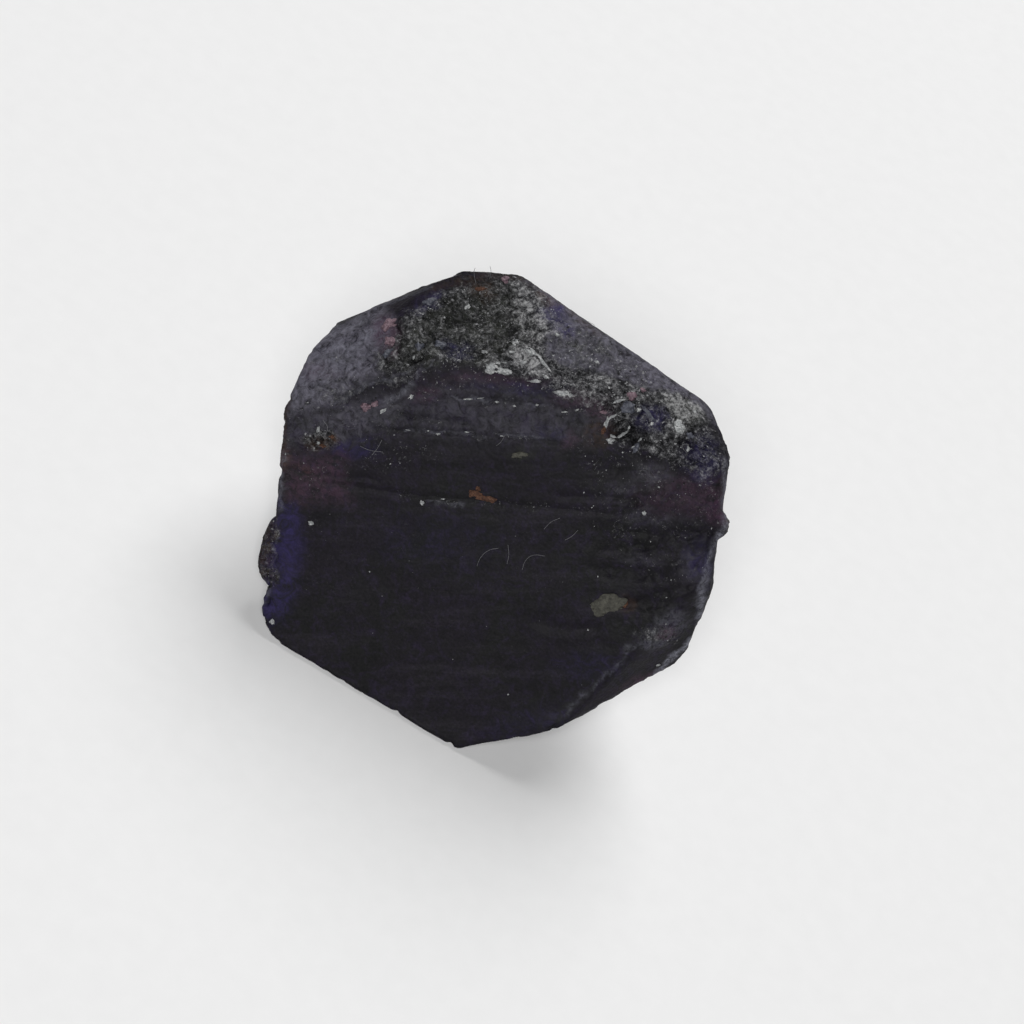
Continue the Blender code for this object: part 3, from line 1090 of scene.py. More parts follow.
    def build(self, node: bpy.types.Object) -> bpy.types.Mesh:
        """Make the stone's surface.

        Args:
            node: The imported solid's object.

        Returns:
            The finished mesh in crystal millimetres, with its looks as attributes.
        """
        mesh = self.base(node)
        surface = Surface(mesh)
        calm = np.stack([surface.spread(surface.normals[:, axis], self.calm_rounds) for axis in range(3)], 1)
        length = np.linalg.norm(calm, axis=1)
        edge = smooth(*self.edge_fade, length)
        calm = calm / length[:, None]
        facing = calm @ np.array(self.view.towards())
        seen = smooth(*self.seen_fade, facing)
        weights = self.region_weights(calm)
        self.paint(surface, weights["back"], seen)
        points = surface.points
        height = self.relief(points, weights, edge, seen)
        surface.push(height, calm)
        swelling = Swelling()
        surface.push(swelling.heights(points, self.place.down()), np.tile(swelling.way(), (len(points), 1)))
        outline = smooth(*self.outline_fade, np.abs(facing))
        thick = self.looks[Look.CRUST] * (1.0 - weights["rest"]) * (1.0 - self.outline_thinning * outline)
        rubble = Rubble().heights(surface.points) * thick
        surface.push(rubble, surface.normals)
        total = height + rubble
        # Painted shade: points that lie lower than those around them are darkened as hollows.
        low = smooth(*self.cavity_shade_fade, surface.spread(total, self.low_rounds) - total)
        self.looks[Look.HOLLOW] = np.maximum(self.looks[Look.HOLLOW], low)
        for look, values in self.looks.items():
            surface.store(look.value, values)
        return self.thinned(mesh)

    def thinned(self, mesh: bpy.types.Mesh) -> bpy.types.Mesh:
        """Reduce the mesh where it is flat, and smooth-shade it.

        Args:
            mesh: The fine mesh.

        Returns:
            A mesh with no more than the allowed triangles.
        """
        holder = new_object("fine", mesh)
        triangles = sum(len(polygon.vertices) - 2 for polygon in mesh.polygons)
        thin = holder.modifiers.new("thin", "DECIMATE")
        thin.ratio = min(1.0, self.most_triangles / triangles)
        result = baked(holder)
        LOG.info("stone surface: %d triangles thinned to %d", triangles, len(result.polygons))
        result.shade_smooth()
        return result


def baked(holder: bpy.types.Object) -> bpy.types.Mesh:
    """Turn an object with its modifiers into a plain mesh, and remove the object.

    Args:
        holder: The object to evaluate.

    Returns:
        A new mesh.
    """
    graph = bpy.context.evaluated_depsgraph_get()
    mesh = bpy.data.meshes.new_from_object(holder.evaluated_get(graph), depsgraph=graph)
    source = holder.data
    bpy.data.objects.remove(holder, do_unlink=True)
    if isinstance(source, bpy.types.Mesh):
        bpy.data.meshes.remove(source)
    return mesh


@dataclass
class Ground:
    """The finished stone as something to scatter on and to find pixels on, in crystal millimetres."""

    mesh: bpy.types.Mesh
    view: PhotoView
    place: CrystalFrame

    def __post_init__(self) -> None:
        """Prepare the search tree for lines of sight."""
        corners = [vertex.co for vertex in self.mesh.vertices]
        faces = [tuple(polygon.vertices) for polygon in self.mesh.polygons]
        self.tree = BVHTree.FromPolygons(corners, faces)

    def find(self, pixel: Pixel, reach: float = 0.25) -> tuple[Vector, Vector]:
        """Where a pixel's line of sight meets the stone.

        Args:
            pixel: A place in the photograph.
            reach: How far around, in millimetres, the surface's direction is averaged.

        Returns:
            The point on the stone, or beside it where the line of sight misses, and the way outwards.
        """
        eye = self.view.eye()
        ray = self.view.ray(pixel)
        point, normal, _, _ = self.tree.ray_cast(eye, ray)
        if point is None:
            beside, _, _, _ = self.tree.find_nearest(eye + ray * self.view.distance)
            return eye + ray * (beside - eye).dot(ray), self.view.towards()
        total = Vector(normal)
        for _, near, _, _ in self.tree.find_nearest_range(point, reach):
            total += near
        return point, total.normalized()

    def settle(self, mesh: bpy.types.Mesh, name: str, material: bpy.types.Material) -> bpy.types.Object:
        """Make a finished piece from a mesh in crystal millimetres.

        Args:
            mesh: The piece's shape.
            name: The piece's name.
            material: Its finish.

        Returns:
            The piece, with its object at the origin.
        """
        mesh.transform(self.place.to_row())
        mesh.materials.clear()
        mesh.materials.append(material)
        mesh.name = name
        piece = new_object(name, mesh)
        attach(piece, BODY)
        LOG.info("%s: %d faces", name, len(mesh.polygons))
        return piece


@dataclass(frozen=True)
class Cloud:
    """Noise for a material: per_mm waves to the millimetre, stretched so that low is 0 and high is 1."""

    per_mm: float
    low: float = 0.0
    high: float = 1.0
    detail: float = 4.0
    rough: float = 0.65
    bend: float = 0.0

    def noise(self, tree: Tree, where: Socket) -> Socket:
        """Add the noise to a material, as it is before it is stretched."""
        return add_node(tree, "ShaderNodeTexNoise", {
            "Vector": where, "Scale": self.per_mm, "Detail": self.detail, "Roughness": self.rough,
            "Distortion": self.bend,
        })

    def share(self, tree: Tree, where: Socket) -> Socket:
        """Add the stretched noise to a material.

        Args:
            tree: The material's nodes.
            where: Coordinates in millimetres.

        Returns:
            A value from 0 to 1.
        """
        stretched = {"Value": self.noise(tree, where), "From Min": self.low, "From Max": self.high}
        return add_node(tree, "ShaderNodeMapRange", stretched)


@dataclass(frozen=True)
class Coat:
    """A colour laid over the stone: most is its cover, clouds break it up, and look is where it lies."""

    colour: str
    most: float
    clouds: tuple[Cloud, ...] = ()
    look: Look | None = None


def ragged(per_mm: float) -> tuple[Cloud, ...]:
    """The noise that breaks up films and colour zones, with so many waves to the millimetre."""
    return (Cloud(per_mm, 0.36, 0.62, 8.0, 0.72, 1.0),)


# Grey-green and violet patches and darker ones in the crystal, and streaks along its growth lines.
BODY_COLOUR = "161617"
BODY_COATS = (
    Coat("19161d", 1.0, (Cloud(0.30, 0.38, 0.62, 3.0, 0.6, 0.5),)),
    Coat("211c2b", 1.0, (Cloud(1.6, 0.48, 0.66, 6.0, 0.70, 1.0),)),
    Coat("0f0f11", 0.55, (Cloud(1.1, 0.50, 0.64, 6.0, 0.70, 1.0),)),
)
STREAKS = Coat("312e35", 0.35, (Cloud(1.0, 0.52, 0.72, 5.0, 0.65),))

# Dull films on the crystal, with painted sheen on upward slopes and painted highlights on edges and ridges.
FILMS_SHEEN_AND_HIGHLIGHTS = (
    Coat("6e6c78", 0.88, ragged(2.4), Look.VEIL),
    Coat("9293a0", 0.85, ragged(3.5), Look.FROST),
)

# Colours that run through crystal and crust alike, painted shade in hollows and grooves and by the ground,
# and pale flecks of dust and mica with painted glints, thick in the rubble and thin on the end face.
TINTS_SHADE_AND_GLINTS = (
    Coat("3d4037", 0.45, ragged(1.8), Look.GREEN),
    Coat("342d60", 0.66, ragged(1.6), Look.BLUE),
    Coat("51394b", 0.75, ragged(2.6), Look.MAROON),
    Coat("4c3524", 0.65, ragged(2.6), Look.RUST),
    # Painted shade: near-black in hollows, grooves and pits and along the edge by the ground, and dark
    # patches on the hidden sides.
    Coat("08080a", 0.85, (), Look.HOLLOW),
    # Pale flecks of dust and mica, partly painted glints.
    Coat("a9aaab", 0.8, (Cloud(9.0, 0.60, 0.66, 3.0, 0.75, 0.6), Cloud(1.4, 0.46, 0.60, 5.0, 0.7)),
         Look.SPECKS),
)


class StoneNodes:
    """The nodes of the stone's material: its coordinates in millimetres, and what is painted on it."""

    def __init__(self, tree: Tree) -> None:
        """Add the nodes that the rest start from."""
        self.tree = tree
        self.add = partial(add_node, tree)
        where = self.add("ShaderNodeTexCoord", out="Object")
        self.mm = self.add("ShaderNodeVectorMath", {0: where, "Scale": 1.0 / MM}, operation="SCALE")
        self.looks = {
            look: self.add("ShaderNodeAttribute", out="Fac", attribute_name=look.value) for look in Look
        }

    def over(self, colour: Socket | str, coats: Sequence[Coat], where: Socket | None = None) -> Socket:
        """Lay coats over a colour.

        Args:
            colour: The colour below, as a hex value or a socket.
            coats: What is laid over it, the first one lowest.
            where: Coordinates for their noise, if not plain millimetres.

        Returns:
            The coated colour.
        """
        below = linear(colour) if isinstance(colour, str) else colour
        for coat in coats:
            factors = [cloud.share(self.tree, self.mm if where is None else where) for cloud in coat.clouds]
            if coat.look is not None:
                factors.append(self.looks[coat.look])
            share = coat.most
            for factor in factors:
                share = self.add("ShaderNodeMath", {0: factor, 1: share}, operation="MULTIPLY")
            mixed = {0: share, 6: below, 7: linear(coat.colour)}
            below = self.add("ShaderNodeMix", mixed, out=2, data_type="RGBA")
        return below


@dataclass(frozen=True)
class CorundumFinish:
    """Weathered natural corundum, nearly opaque.

    To the eye it is black with a violet cast, dull on the end face, with grey-green rubble of fine mica
    and feldspar on the broken slopes, blue and maroon zones where the colour of the crystal shows, and
    rust where iron has stained it. Its gloss is far below that of a cut stone, because a dull skin of
    fine pits covers it.
    """

    roughness: float = 0.55
    crust_roughness: float = 0.85
    ior: float = 1.77
    specular: float = 0.06
    mottle: Cloud = Cloud(8.0, 0.35, 0.70, 4.0, 0.7)
    mottle_least: float = 0.65
    mottle_most: float = 1.35
    streak_stretch: tuple[float, float, float] = (0.22, 1.7, 1.7)
    drifts: Cloud = Cloud(1.2, 0.34, 0.66, 8.0, 0.74, 1.2)
    grains: Cloud = Cloud(5.0, 0.32, 0.70, 5.0, 0.8)
    grain_share: float = 0.58
    paler: float = 0.28
    rubble: tuple[tuple[float, str], ...] = (
        (0.24, "0c0c0e"), (0.39, "202022"), (0.54, "414143"), (0.67, "676769"), (0.84, "a3a3a4"),
    )
    edge_noise: Cloud = Cloud(1.3, detail=8.0, rough=0.78, bend=0.8)
    edge_gain: float = 1.5
    pale_gain: float = 0.6
    edge_fade: Fade = (1.00, 1.65)
    bump_noise: Cloud = Cloud(4.0, detail=6.0, rough=0.7)
    pits_per_mm: float = 7.0
    least_bump: float = 0.12
    bump_mm: float = 0.12

    def material(self) -> bpy.types.Material:
        """Build the material."""
        made = new_material("weathered_corundum", self.roughness, self.specular)
        shader = made.node_tree.nodes["Principled BSDF"]
        shader.inputs["IOR"].default_value = self.ior
        nodes = StoneNodes(made.node_tree)
        crystal = nodes.over(self.body_colour(nodes), FILMS_SHEEN_AND_HIGHLIGHTS)
        parts = {0: self.crust_cover(nodes), 6: crystal, 7: self.crust_colour(nodes)}
        both = nodes.add("ShaderNodeMix", parts, out=2, data_type="RGBA")
        steps = {"Value": nodes.looks[Look.CRUST], "To Min": self.roughness, "To Max": self.crust_roughness}
        for name, socket in {
            "Base Color": nodes.over(both, TINTS_SHADE_AND_GLINTS),
            "Roughness": nodes.add("ShaderNodeMapRange", steps),
            "Normal": self.bump(nodes),
        }.items():
            made.node_tree.links.new(socket, shader.inputs[name])
        return made

    def body_colour(self, nodes: StoneNodes) -> Socket:
        """Near-black violet with patches, streaked along the growth lines and finely mottled."""
        turned = {
            "Vector": nodes.mm,
            "Rotation": (-math.radians(CrystalFrame.lean_deg), 0.0, -math.radians(PhotoView.roll_deg)),
        }
        along = nodes.add("ShaderNodeMapping", turned)
        along = nodes.add("ShaderNodeVectorMath", {0: along, 1: self.streak_stretch}, operation="MULTIPLY")
        colour = nodes.over(nodes.over(BODY_COLOUR, BODY_COATS), (STREAKS,), along)
        fine = self.mottle.share(nodes.tree, nodes.mm)
        steps = {"Value": fine, "To Min": self.mottle_least, "To Max": self.mottle_most}
        mottle = nodes.add("ShaderNodeMapRange", steps)
        return nodes.add("ShaderNodeVectorMath", {0: colour, "Scale": mottle}, operation="SCALE")

    def crust_colour(self, nodes: StoneNodes) -> Socket:
        """Rubble of black, grey and pale grains, in drifts about half a millimetre across."""
        layers = [cloud.share(nodes.tree, nodes.mm) for cloud in (self.drifts, self.grains)]
        both = {0: self.grain_share, 2: layers[0], 3: layers[1]}
        both = nodes.add("ShaderNodeMix", both, data_type="FLOAT")
        sums = {0: nodes.looks[Look.PALE], 1: self.paler, 2: both}
        lighter = nodes.add("ShaderNodeMath", sums, operation="MULTIPLY_ADD")
        return nodes.add("ShaderNodeValToRGB", {0: lighter}, ramp=self.rubble)

    def crust_cover(self, nodes: StoneNodes) -> Socket:
        """Where the crust hides the crystal, broken up at its edges."""
        noise = self.edge_noise.noise(nodes.tree, nodes.mm)
        total = nodes.looks[Look.CRUST]
        for part, gain in ((noise, self.edge_gain), (nodes.looks[Look.PALE], self.pale_gain)):
            total = nodes.add("ShaderNodeMath", {0: part, 1: gain, 2: total}, operation="MULTIPLY_ADD")
        bare, covered = self.edge_fade
        edge = {"Value": total, "From Min": bare, "From Max": covered}
        return nodes.add("ShaderNodeMapRange", edge, interpolation_type="SMOOTHSTEP")

    def bump(self, nodes: StoneNodes) -> Socket:
        """Fine grain: slight on the crystal, strong in the rubble."""
        coarse = self.bump_noise.noise(nodes.tree, nodes.mm)
        pits = {"Vector": nodes.mm, "Scale": self.pits_per_mm}
        fine = nodes.add("ShaderNodeTexVoronoi", pits, out="Distance")
        height = nodes.add("ShaderNodeMath", {0: coarse, 1: fine}, operation="SUBTRACT")
        steps = {"Value": nodes.looks[Look.CRUST], "To Min": self.least_bump, "To Max": 1.0}
        strength = nodes.add("ShaderNodeMapRange", steps)
        relief = {"Height": height, "Strength": strength, "Distance": self.bump_mm * MM}
        return nodes.add("ShaderNodeBump", relief)


@dataclass(frozen=True)
class MineralFinish:
    """A small natural thing on the stone: three colours mixed by noise, and a grainy surface.

    grain_mm is the size of its mottling and bump_mm how deep its surface is. A tinted one also takes a
    shade of its own for each grain.
    """

    name: str
    colours: tuple[str, str, str]
    grain_mm: float = 0.15
    bump_mm: float = 0.03
    roughness: float = 0.75
    specular: float = 0.3
    tinted: bool = False
    tint_share: float = 0.65
    stops: tuple[float, float, float] = (0.25, 0.5, 0.78)

    def material(self) -> bpy.types.Material:
        """Build the material."""
        made = new_material(self.name, self.roughness, self.specular)
        tree = made.node_tree
        add = partial(add_node, tree)
        grain = {"Vector": add("ShaderNodeTexCoord", out="Object"), "Scale": 1.0 / (self.grain_mm * MM),
                 "Detail": 4.0, "Roughness": 0.7}
        noise = add("ShaderNodeTexNoise", grain)
        choice = noise
        if self.tinted:
            tint = add("ShaderNodeAttribute", out="Fac", attribute_name="tint")
            choice = add("ShaderNodeMix", {0: self.tint_share, 2: noise, 3: tint}, data_type="FLOAT")
        colour = add("ShaderNodeValToRGB", {0: choice}, ramp=tuple(zip(self.stops, self.colours)))
        bump = add("ShaderNodeBump", {"Height": noise, "Distance": self.bump_mm * MM})
        shader = tree.nodes["Principled BSDF"]
        tree.links.new(colour, shader.inputs["Base Color"])
        tree.links.new(bump, shader.inputs["Normal"])
        return made


class Shape(Enum):
    """What a strewn thing looks like."""

    GRAIN = "grain"
    FIBRE = "fibre"


@dataclass(frozen=True)
class Scatter:
    """Many small grains or fibres strewn over the stone by Geometry Nodes.

    per_mm2 is how many lie on a square millimetre where the look is at full strength, sizes are the
    least and largest radius in millimetres, flat is how thin a grain is beside its width, and sunk is how
    much of its radius is buried. uneven is how rough its shape is, beside its radius, and narrowest how
    narrow it may be, beside its length. The grains lie in drifts, where noise of drifts_per_mm waves to
    the millimetre is high, and there are up to drift_most times as many in a drift.
    """

    name: str
    look: Look
    per_mm2: float
    sizes: tuple[float, float]
    finish: MineralFinish
    seed: int
    flat: float = 0.6
    sunk: float = 0.3
    uneven: float = 0.25
    shape: Shape = Shape.GRAIN
    narrowest: float = 0.55
    drifts_per_mm: float = 0.8
    drift_fade: Fade = (0.40, 0.62)
    drift_most: float = 2.0
    dents_per_mm: float = 7.0

    def instance(self, tree: Tree) -> Socket:
        """One grain of unit radius, or one bent fibre of unit length.

        Args:
            tree: The node tree to add it to.

        Returns:
            The output with its shape.
        """
        if self.shape is Shape.GRAIN:
            return add_node(tree, "GeometryNodeMeshIcoSphere", {"Radius": 1.0, "Subdivisions": 1}, "Mesh")
        bow = {"Start": (-1.0, 0.0, 0.0), "Middle": (0.1, 0.9, 0.5), "End": (0.8, -0.3, 0.1)}
        arc = add_node(tree, "GeometryNodeCurveQuadraticBezier", {"Resolution": 7, **bow})
        ring = add_node(tree, "GeometryNodeCurvePrimitiveCircle", {"Resolution": 4, "Radius": 0.02})
        tube = {"Curve": arc, "Profile Curve": ring, "Fill Caps": True}
        return add_node(tree, "GeometryNodeCurveToMesh", tube)

    def interface(self, tree: Tree) -> dict[str, str]:
        """Give the tree its inputs and its output.

        Args:
            tree: The new node tree.

        Returns:
            The identifier of each named input.
        """
        kinds = {"Per mm2": "Float", "Least": "Float", "Largest": "Float", "Flat": "Float", "Sunk": "Float",
                 "Uneven": "Float", "Seed": "Int", "Finish": "Material"}
        face = tree.interface
        face.new_socket("Geometry", in_out="INPUT", socket_type="NodeSocketGeometry")
        names = {}
        for label, kind in kinds.items():
            names[label] = face.new_socket(label, in_out="INPUT", socket_type="NodeSocket" + kind).identifier
        face.new_socket("Geometry", in_out="OUTPUT", socket_type="NodeSocketGeometry")
        return names

    def nodes(self, tree: Tree) -> None:
        """Fill the tree: points where the look is, a turned and squashed grain on each, made uneven."""
        add = partial(add_node, tree)
        draw = partial(add, "FunctionNodeRandomValue", out=1, data_type="FLOAT")
        given = add("NodeGroupInput").node.outputs
        cover = {"Name": self.look.value}
        cover = add("GeometryNodeInputNamedAttribute", cover, "Attribute", data_type="FLOAT")
        between, within = self.drift_fade
        drifts = add("ShaderNodeTexNoise", {"Scale": self.drifts_per_mm, "Detail": 3.0})
        drifts = {"Value": drifts, "From Min": between, "From Max": within, "To Max": self.drift_most}
        share = add("ShaderNodeMapRange", drifts)
        for factor in (given["Per mm2"], cover):
            share = add("ShaderNodeMath", {0: share, 1: factor}, operation="MULTIPLY")
        strewn = {"Mesh": given["Geometry"], "Density": share, "Seed": given["Seed"]}
        strewn = add("GeometryNodeDistributePointsOnFaces", strewn).node.outputs
        skewed = add("ShaderNodeMath", {0: draw({"Seed": given["Seed"]}), 1: 2.0}, operation="POWER")
        sizes = {"Value": skewed, "To Min": given["Least"], "To Max": given["Largest"]}
        size = add("ShaderNodeMapRange", sizes)
        inward = size
        for factor in (given["Sunk"], -1.0):
            inward = add("ShaderNodeMath", {0: inward, 1: factor}, operation="MULTIPLY")
        offset = add("ShaderNodeVectorMath", {0: strewn["Normal"], "Scale": inward}, operation="SCALE")
        buried = add("GeometryNodeSetPosition", {"Geometry": strewn["Points"], "Offset": offset})
        spin = add("ShaderNodeCombineXYZ", {"Z": draw({"Max": math.tau, "Seed": 3})})
        spin = add("FunctionNodeEulerToRotation", {0: spin})
        turn = add("FunctionNodeRotateRotation", {0: strewn["Rotation"], 1: spin}, rotation_space="LOCAL")
        width = draw({"Min": self.narrowest, "Max": 1.0, "Seed": 7})
        form = add("ShaderNodeCombineXYZ", {"X": 1.0, "Y": width, "Z": given["Flat"]})
        form = add("ShaderNodeVectorMath", {0: form, "Scale": size}, operation="SCALE")
        placed = {"Points": buried, "Instance": self.instance(tree), "Rotation": turn, "Scale": form}
        grains = add("GeometryNodeInstanceOnPoints", placed)
        tinted = {"Geometry": grains, "Name": "tint", "Value": draw({"Seed": 11})}
        grains = add("GeometryNodeStoreNamedAttribute", tinted, data_type="FLOAT", domain="INSTANCE")
        real = add("GeometryNodeRealizeInstances", {"Geometry": grains})
        wobble = add("ShaderNodeTexNoise", {"Scale": self.dents_per_mm, "Detail": 1.0}, 1)
        wobble = add("ShaderNodeVectorMath", {0: wobble, 1: (0.5, 0.5, 0.5)}, operation="SUBTRACT")
        wobble = add("ShaderNodeVectorMath", {0: wobble, "Scale": given["Uneven"]}, operation="SCALE")
        bent = add("GeometryNodeSetPosition", {"Geometry": real, "Offset": wobble})
        dressed = add("GeometryNodeSetMaterial", {"Geometry": bent, "Material": given["Finish"]})
        add("NodeGroupOutput", {0: dressed})

    def build(self, ground: Ground) -> bpy.types.Object:
        """Strew the grains over the stone and make them one plain piece.

        Args:
            ground: The stone to strew them on.

        Returns:
            The finished piece.
        """
        tree = bpy.data.node_groups.new(self.name, "GeometryNodeTree")
        names = self.interface(tree)
        self.nodes(tree)
        material = self.finish.material()
        least, largest = self.sizes
        values = {"Per mm2": self.per_mm2, "Least": least, "Largest": largest, "Flat": self.flat,
                  "Sunk": self.sunk, "Uneven": self.uneven * largest, "Seed": self.seed, "Finish": material}
        holder = new_object(self.name, ground.mesh.copy())
        strew = holder.modifiers.new("strew", "NODES")
        strew.node_group = tree
        for label, value in values.items():
            strew[names[label]] = value
        mesh = baked(holder)
        bpy.data.node_groups.remove(tree)
        return ground.settle(mesh, self.name, material)


@dataclass(frozen=True)
class Chip:
    """A grain or flake that the photograph shows, lying on the stone or set into it.

    at is its middle, long and wide are its size and turn_deg is its direction, all as seen in the
    picture, in pixels. thick is its thickness and sunk how deep its middle lies, in millimetres. uneven is
    how ragged it is, and detail how finely it is made.
    """

    at: Pixel
    long: float
    wide: float
    turn_deg: float = 0.0
    thick: float = 0.07
    sunk: float = 0.0
    uneven: float = 0.95
    detail: int = 3
    dents: Wave = Wave(0.8, 151, 4, 0.6)
    apart: float = 7.3

    def shape(self, ground: Ground, number: int) -> tuple[Array, list[tuple[int, ...]]]:
        """Make the chip where its pixel meets the stone.

        Args:
            ground: The stone.
            number: The chip's number, which makes its shape its own.

        Returns:
            Its points in crystal millimetres, and its faces.
        """
        point, normal = ground.find(self.at)
        right, down = ground.view.sideways()
        turn = math.radians(self.turn_deg)
        ahead = right * math.cos(turn) + down * math.sin(turn)
        ahead = (ahead - normal * ahead.dot(normal)).normalized()
        ball = bmesh.new()
        bmesh.ops.create_icosphere(ball, subdivisions=self.detail, radius=1.0)
        corners = np.array([vertex.co for vertex in ball.verts])
        faces = [tuple(vertex.index for vertex in face.verts) for face in ball.faces]
        ball.free()
        dents = 1.0 + self.uneven * self.dents.at(corners + number * self.apart)
        corners = corners * dents[:, None]
        half = 0.5 * ground.view.distance / ground.view.focal_px()
        sizes = (self.long * half, self.wide * half, self.thick / 2.0)
        axes = np.array((ahead, normal.cross(ahead), normal)) * np.array(sizes)[:, None]
        return np.array(point - normal * self.sunk) + corners @ axes, faces


@dataclass(frozen=True)
class Inlay:
    """Chips of one mineral, made as one piece."""

    name: str
    finish: MineralFinish
    chips: tuple[Chip, ...]

    def build(self, ground: Ground) -> bpy.types.Object:
        """Make the piece.

        Args:
            ground: The stone.

        Returns:
            The finished piece.
        """
        corners: list[Array] = []
        faces: list[tuple[int, ...]] = []
        for number, chip in enumerate(self.chips):
            points, sides = chip.shape(ground, number)
            faces.extend(tuple(corner + len(corners) for corner in side) for side in sides)
            corners.extend(points)
        mesh = bpy.data.meshes.new(self.name)
        mesh.from_pydata([tuple(corner) for corner in corners], [], faces)
        mesh.shade_smooth()
        return ground.settle(mesh, self.name, self.finish.material())


@dataclass(frozen=True)
class Fibre:
    """A fibre of lint that the photograph shows, as pixels along it, lifted at its middle."""

    points: tuple[Pixel, ...]
    lift: float = 0.08


@dataclass(frozen=True)
class Lint:
    """Fibres of lint lying on the stone, made as one piece."""

    fibres: tuple[Fibre, ...]
    finish: MineralFinish
    radius: float = 0.009

    def build(self, ground: Ground) -> bpy.types.Object:
        """Make the fibres.

        Args:
            ground: The stone.

        Returns:
            The finished piece.
        """
        curve = bpy.data.curves.new("lint", "CURVE")
        curve.dimensions = "3D"
        curve.bevel_depth = self.radius
        curve.bevel_resolution = 1
        curve.use_fill_caps = True
        curve.resolution_u = 5
        for fibre in self.fibres:
            last = len(fibre.points) - 1
            knots = curve.splines.new("BEZIER").bezier_points
            knots.add(last)
            for number, (knot, pixel) in enumerate(zip(knots, fibre.points)):
                point, normal = ground.find(pixel)
                knot.co = point + normal * (self.radius + fibre.lift * math.sin(math.pi * number / last))
                knot.handle_left_type = "AUTO"
                knot.handle_right_type = "AUTO"
        mesh = baked(new_object("lint", curve))
        closed = bmesh.new()
        closed.from_mesh(mesh)
        bmesh.ops.remove_doubles(closed, verts=closed.verts[:], dist=self.radius * 0.01)
        closed.to_mesh(mesh)
        closed.free()
        return ground.settle(mesh, "lint", self.finish.material())


@dataclass(frozen=True)
class SoftBox:
    """A round soft lamp that looks at the stone, placed by its direction and its distance in metres."""

    name: str
    turn_deg: float
    height_deg: float
    distance: float
    size: float
    power: float

    def hang(self) -> None:
        """Add the lamp to the scene."""
        turn = math.radians(self.turn_deg)
        height = math.radians(self.height_deg)
        level = Vector((math.cos(turn), math.sin(turn), 0.0)) * math.cos(height)
        away = level + Vector((0.0, 0.0, math.sin(height)))
        lamp = bpy.data.lights.new(self.name, "AREA")
        lamp.shape = "DISK"
        lamp.size = self.size
        lamp.energy = self.power
        facing = away.to_track_quat("Z", "Y").to_matrix().to_4x4()
        new_object(self.name, lamp).matrix_world = Matrix.Translation(away * self.distance) @ facing


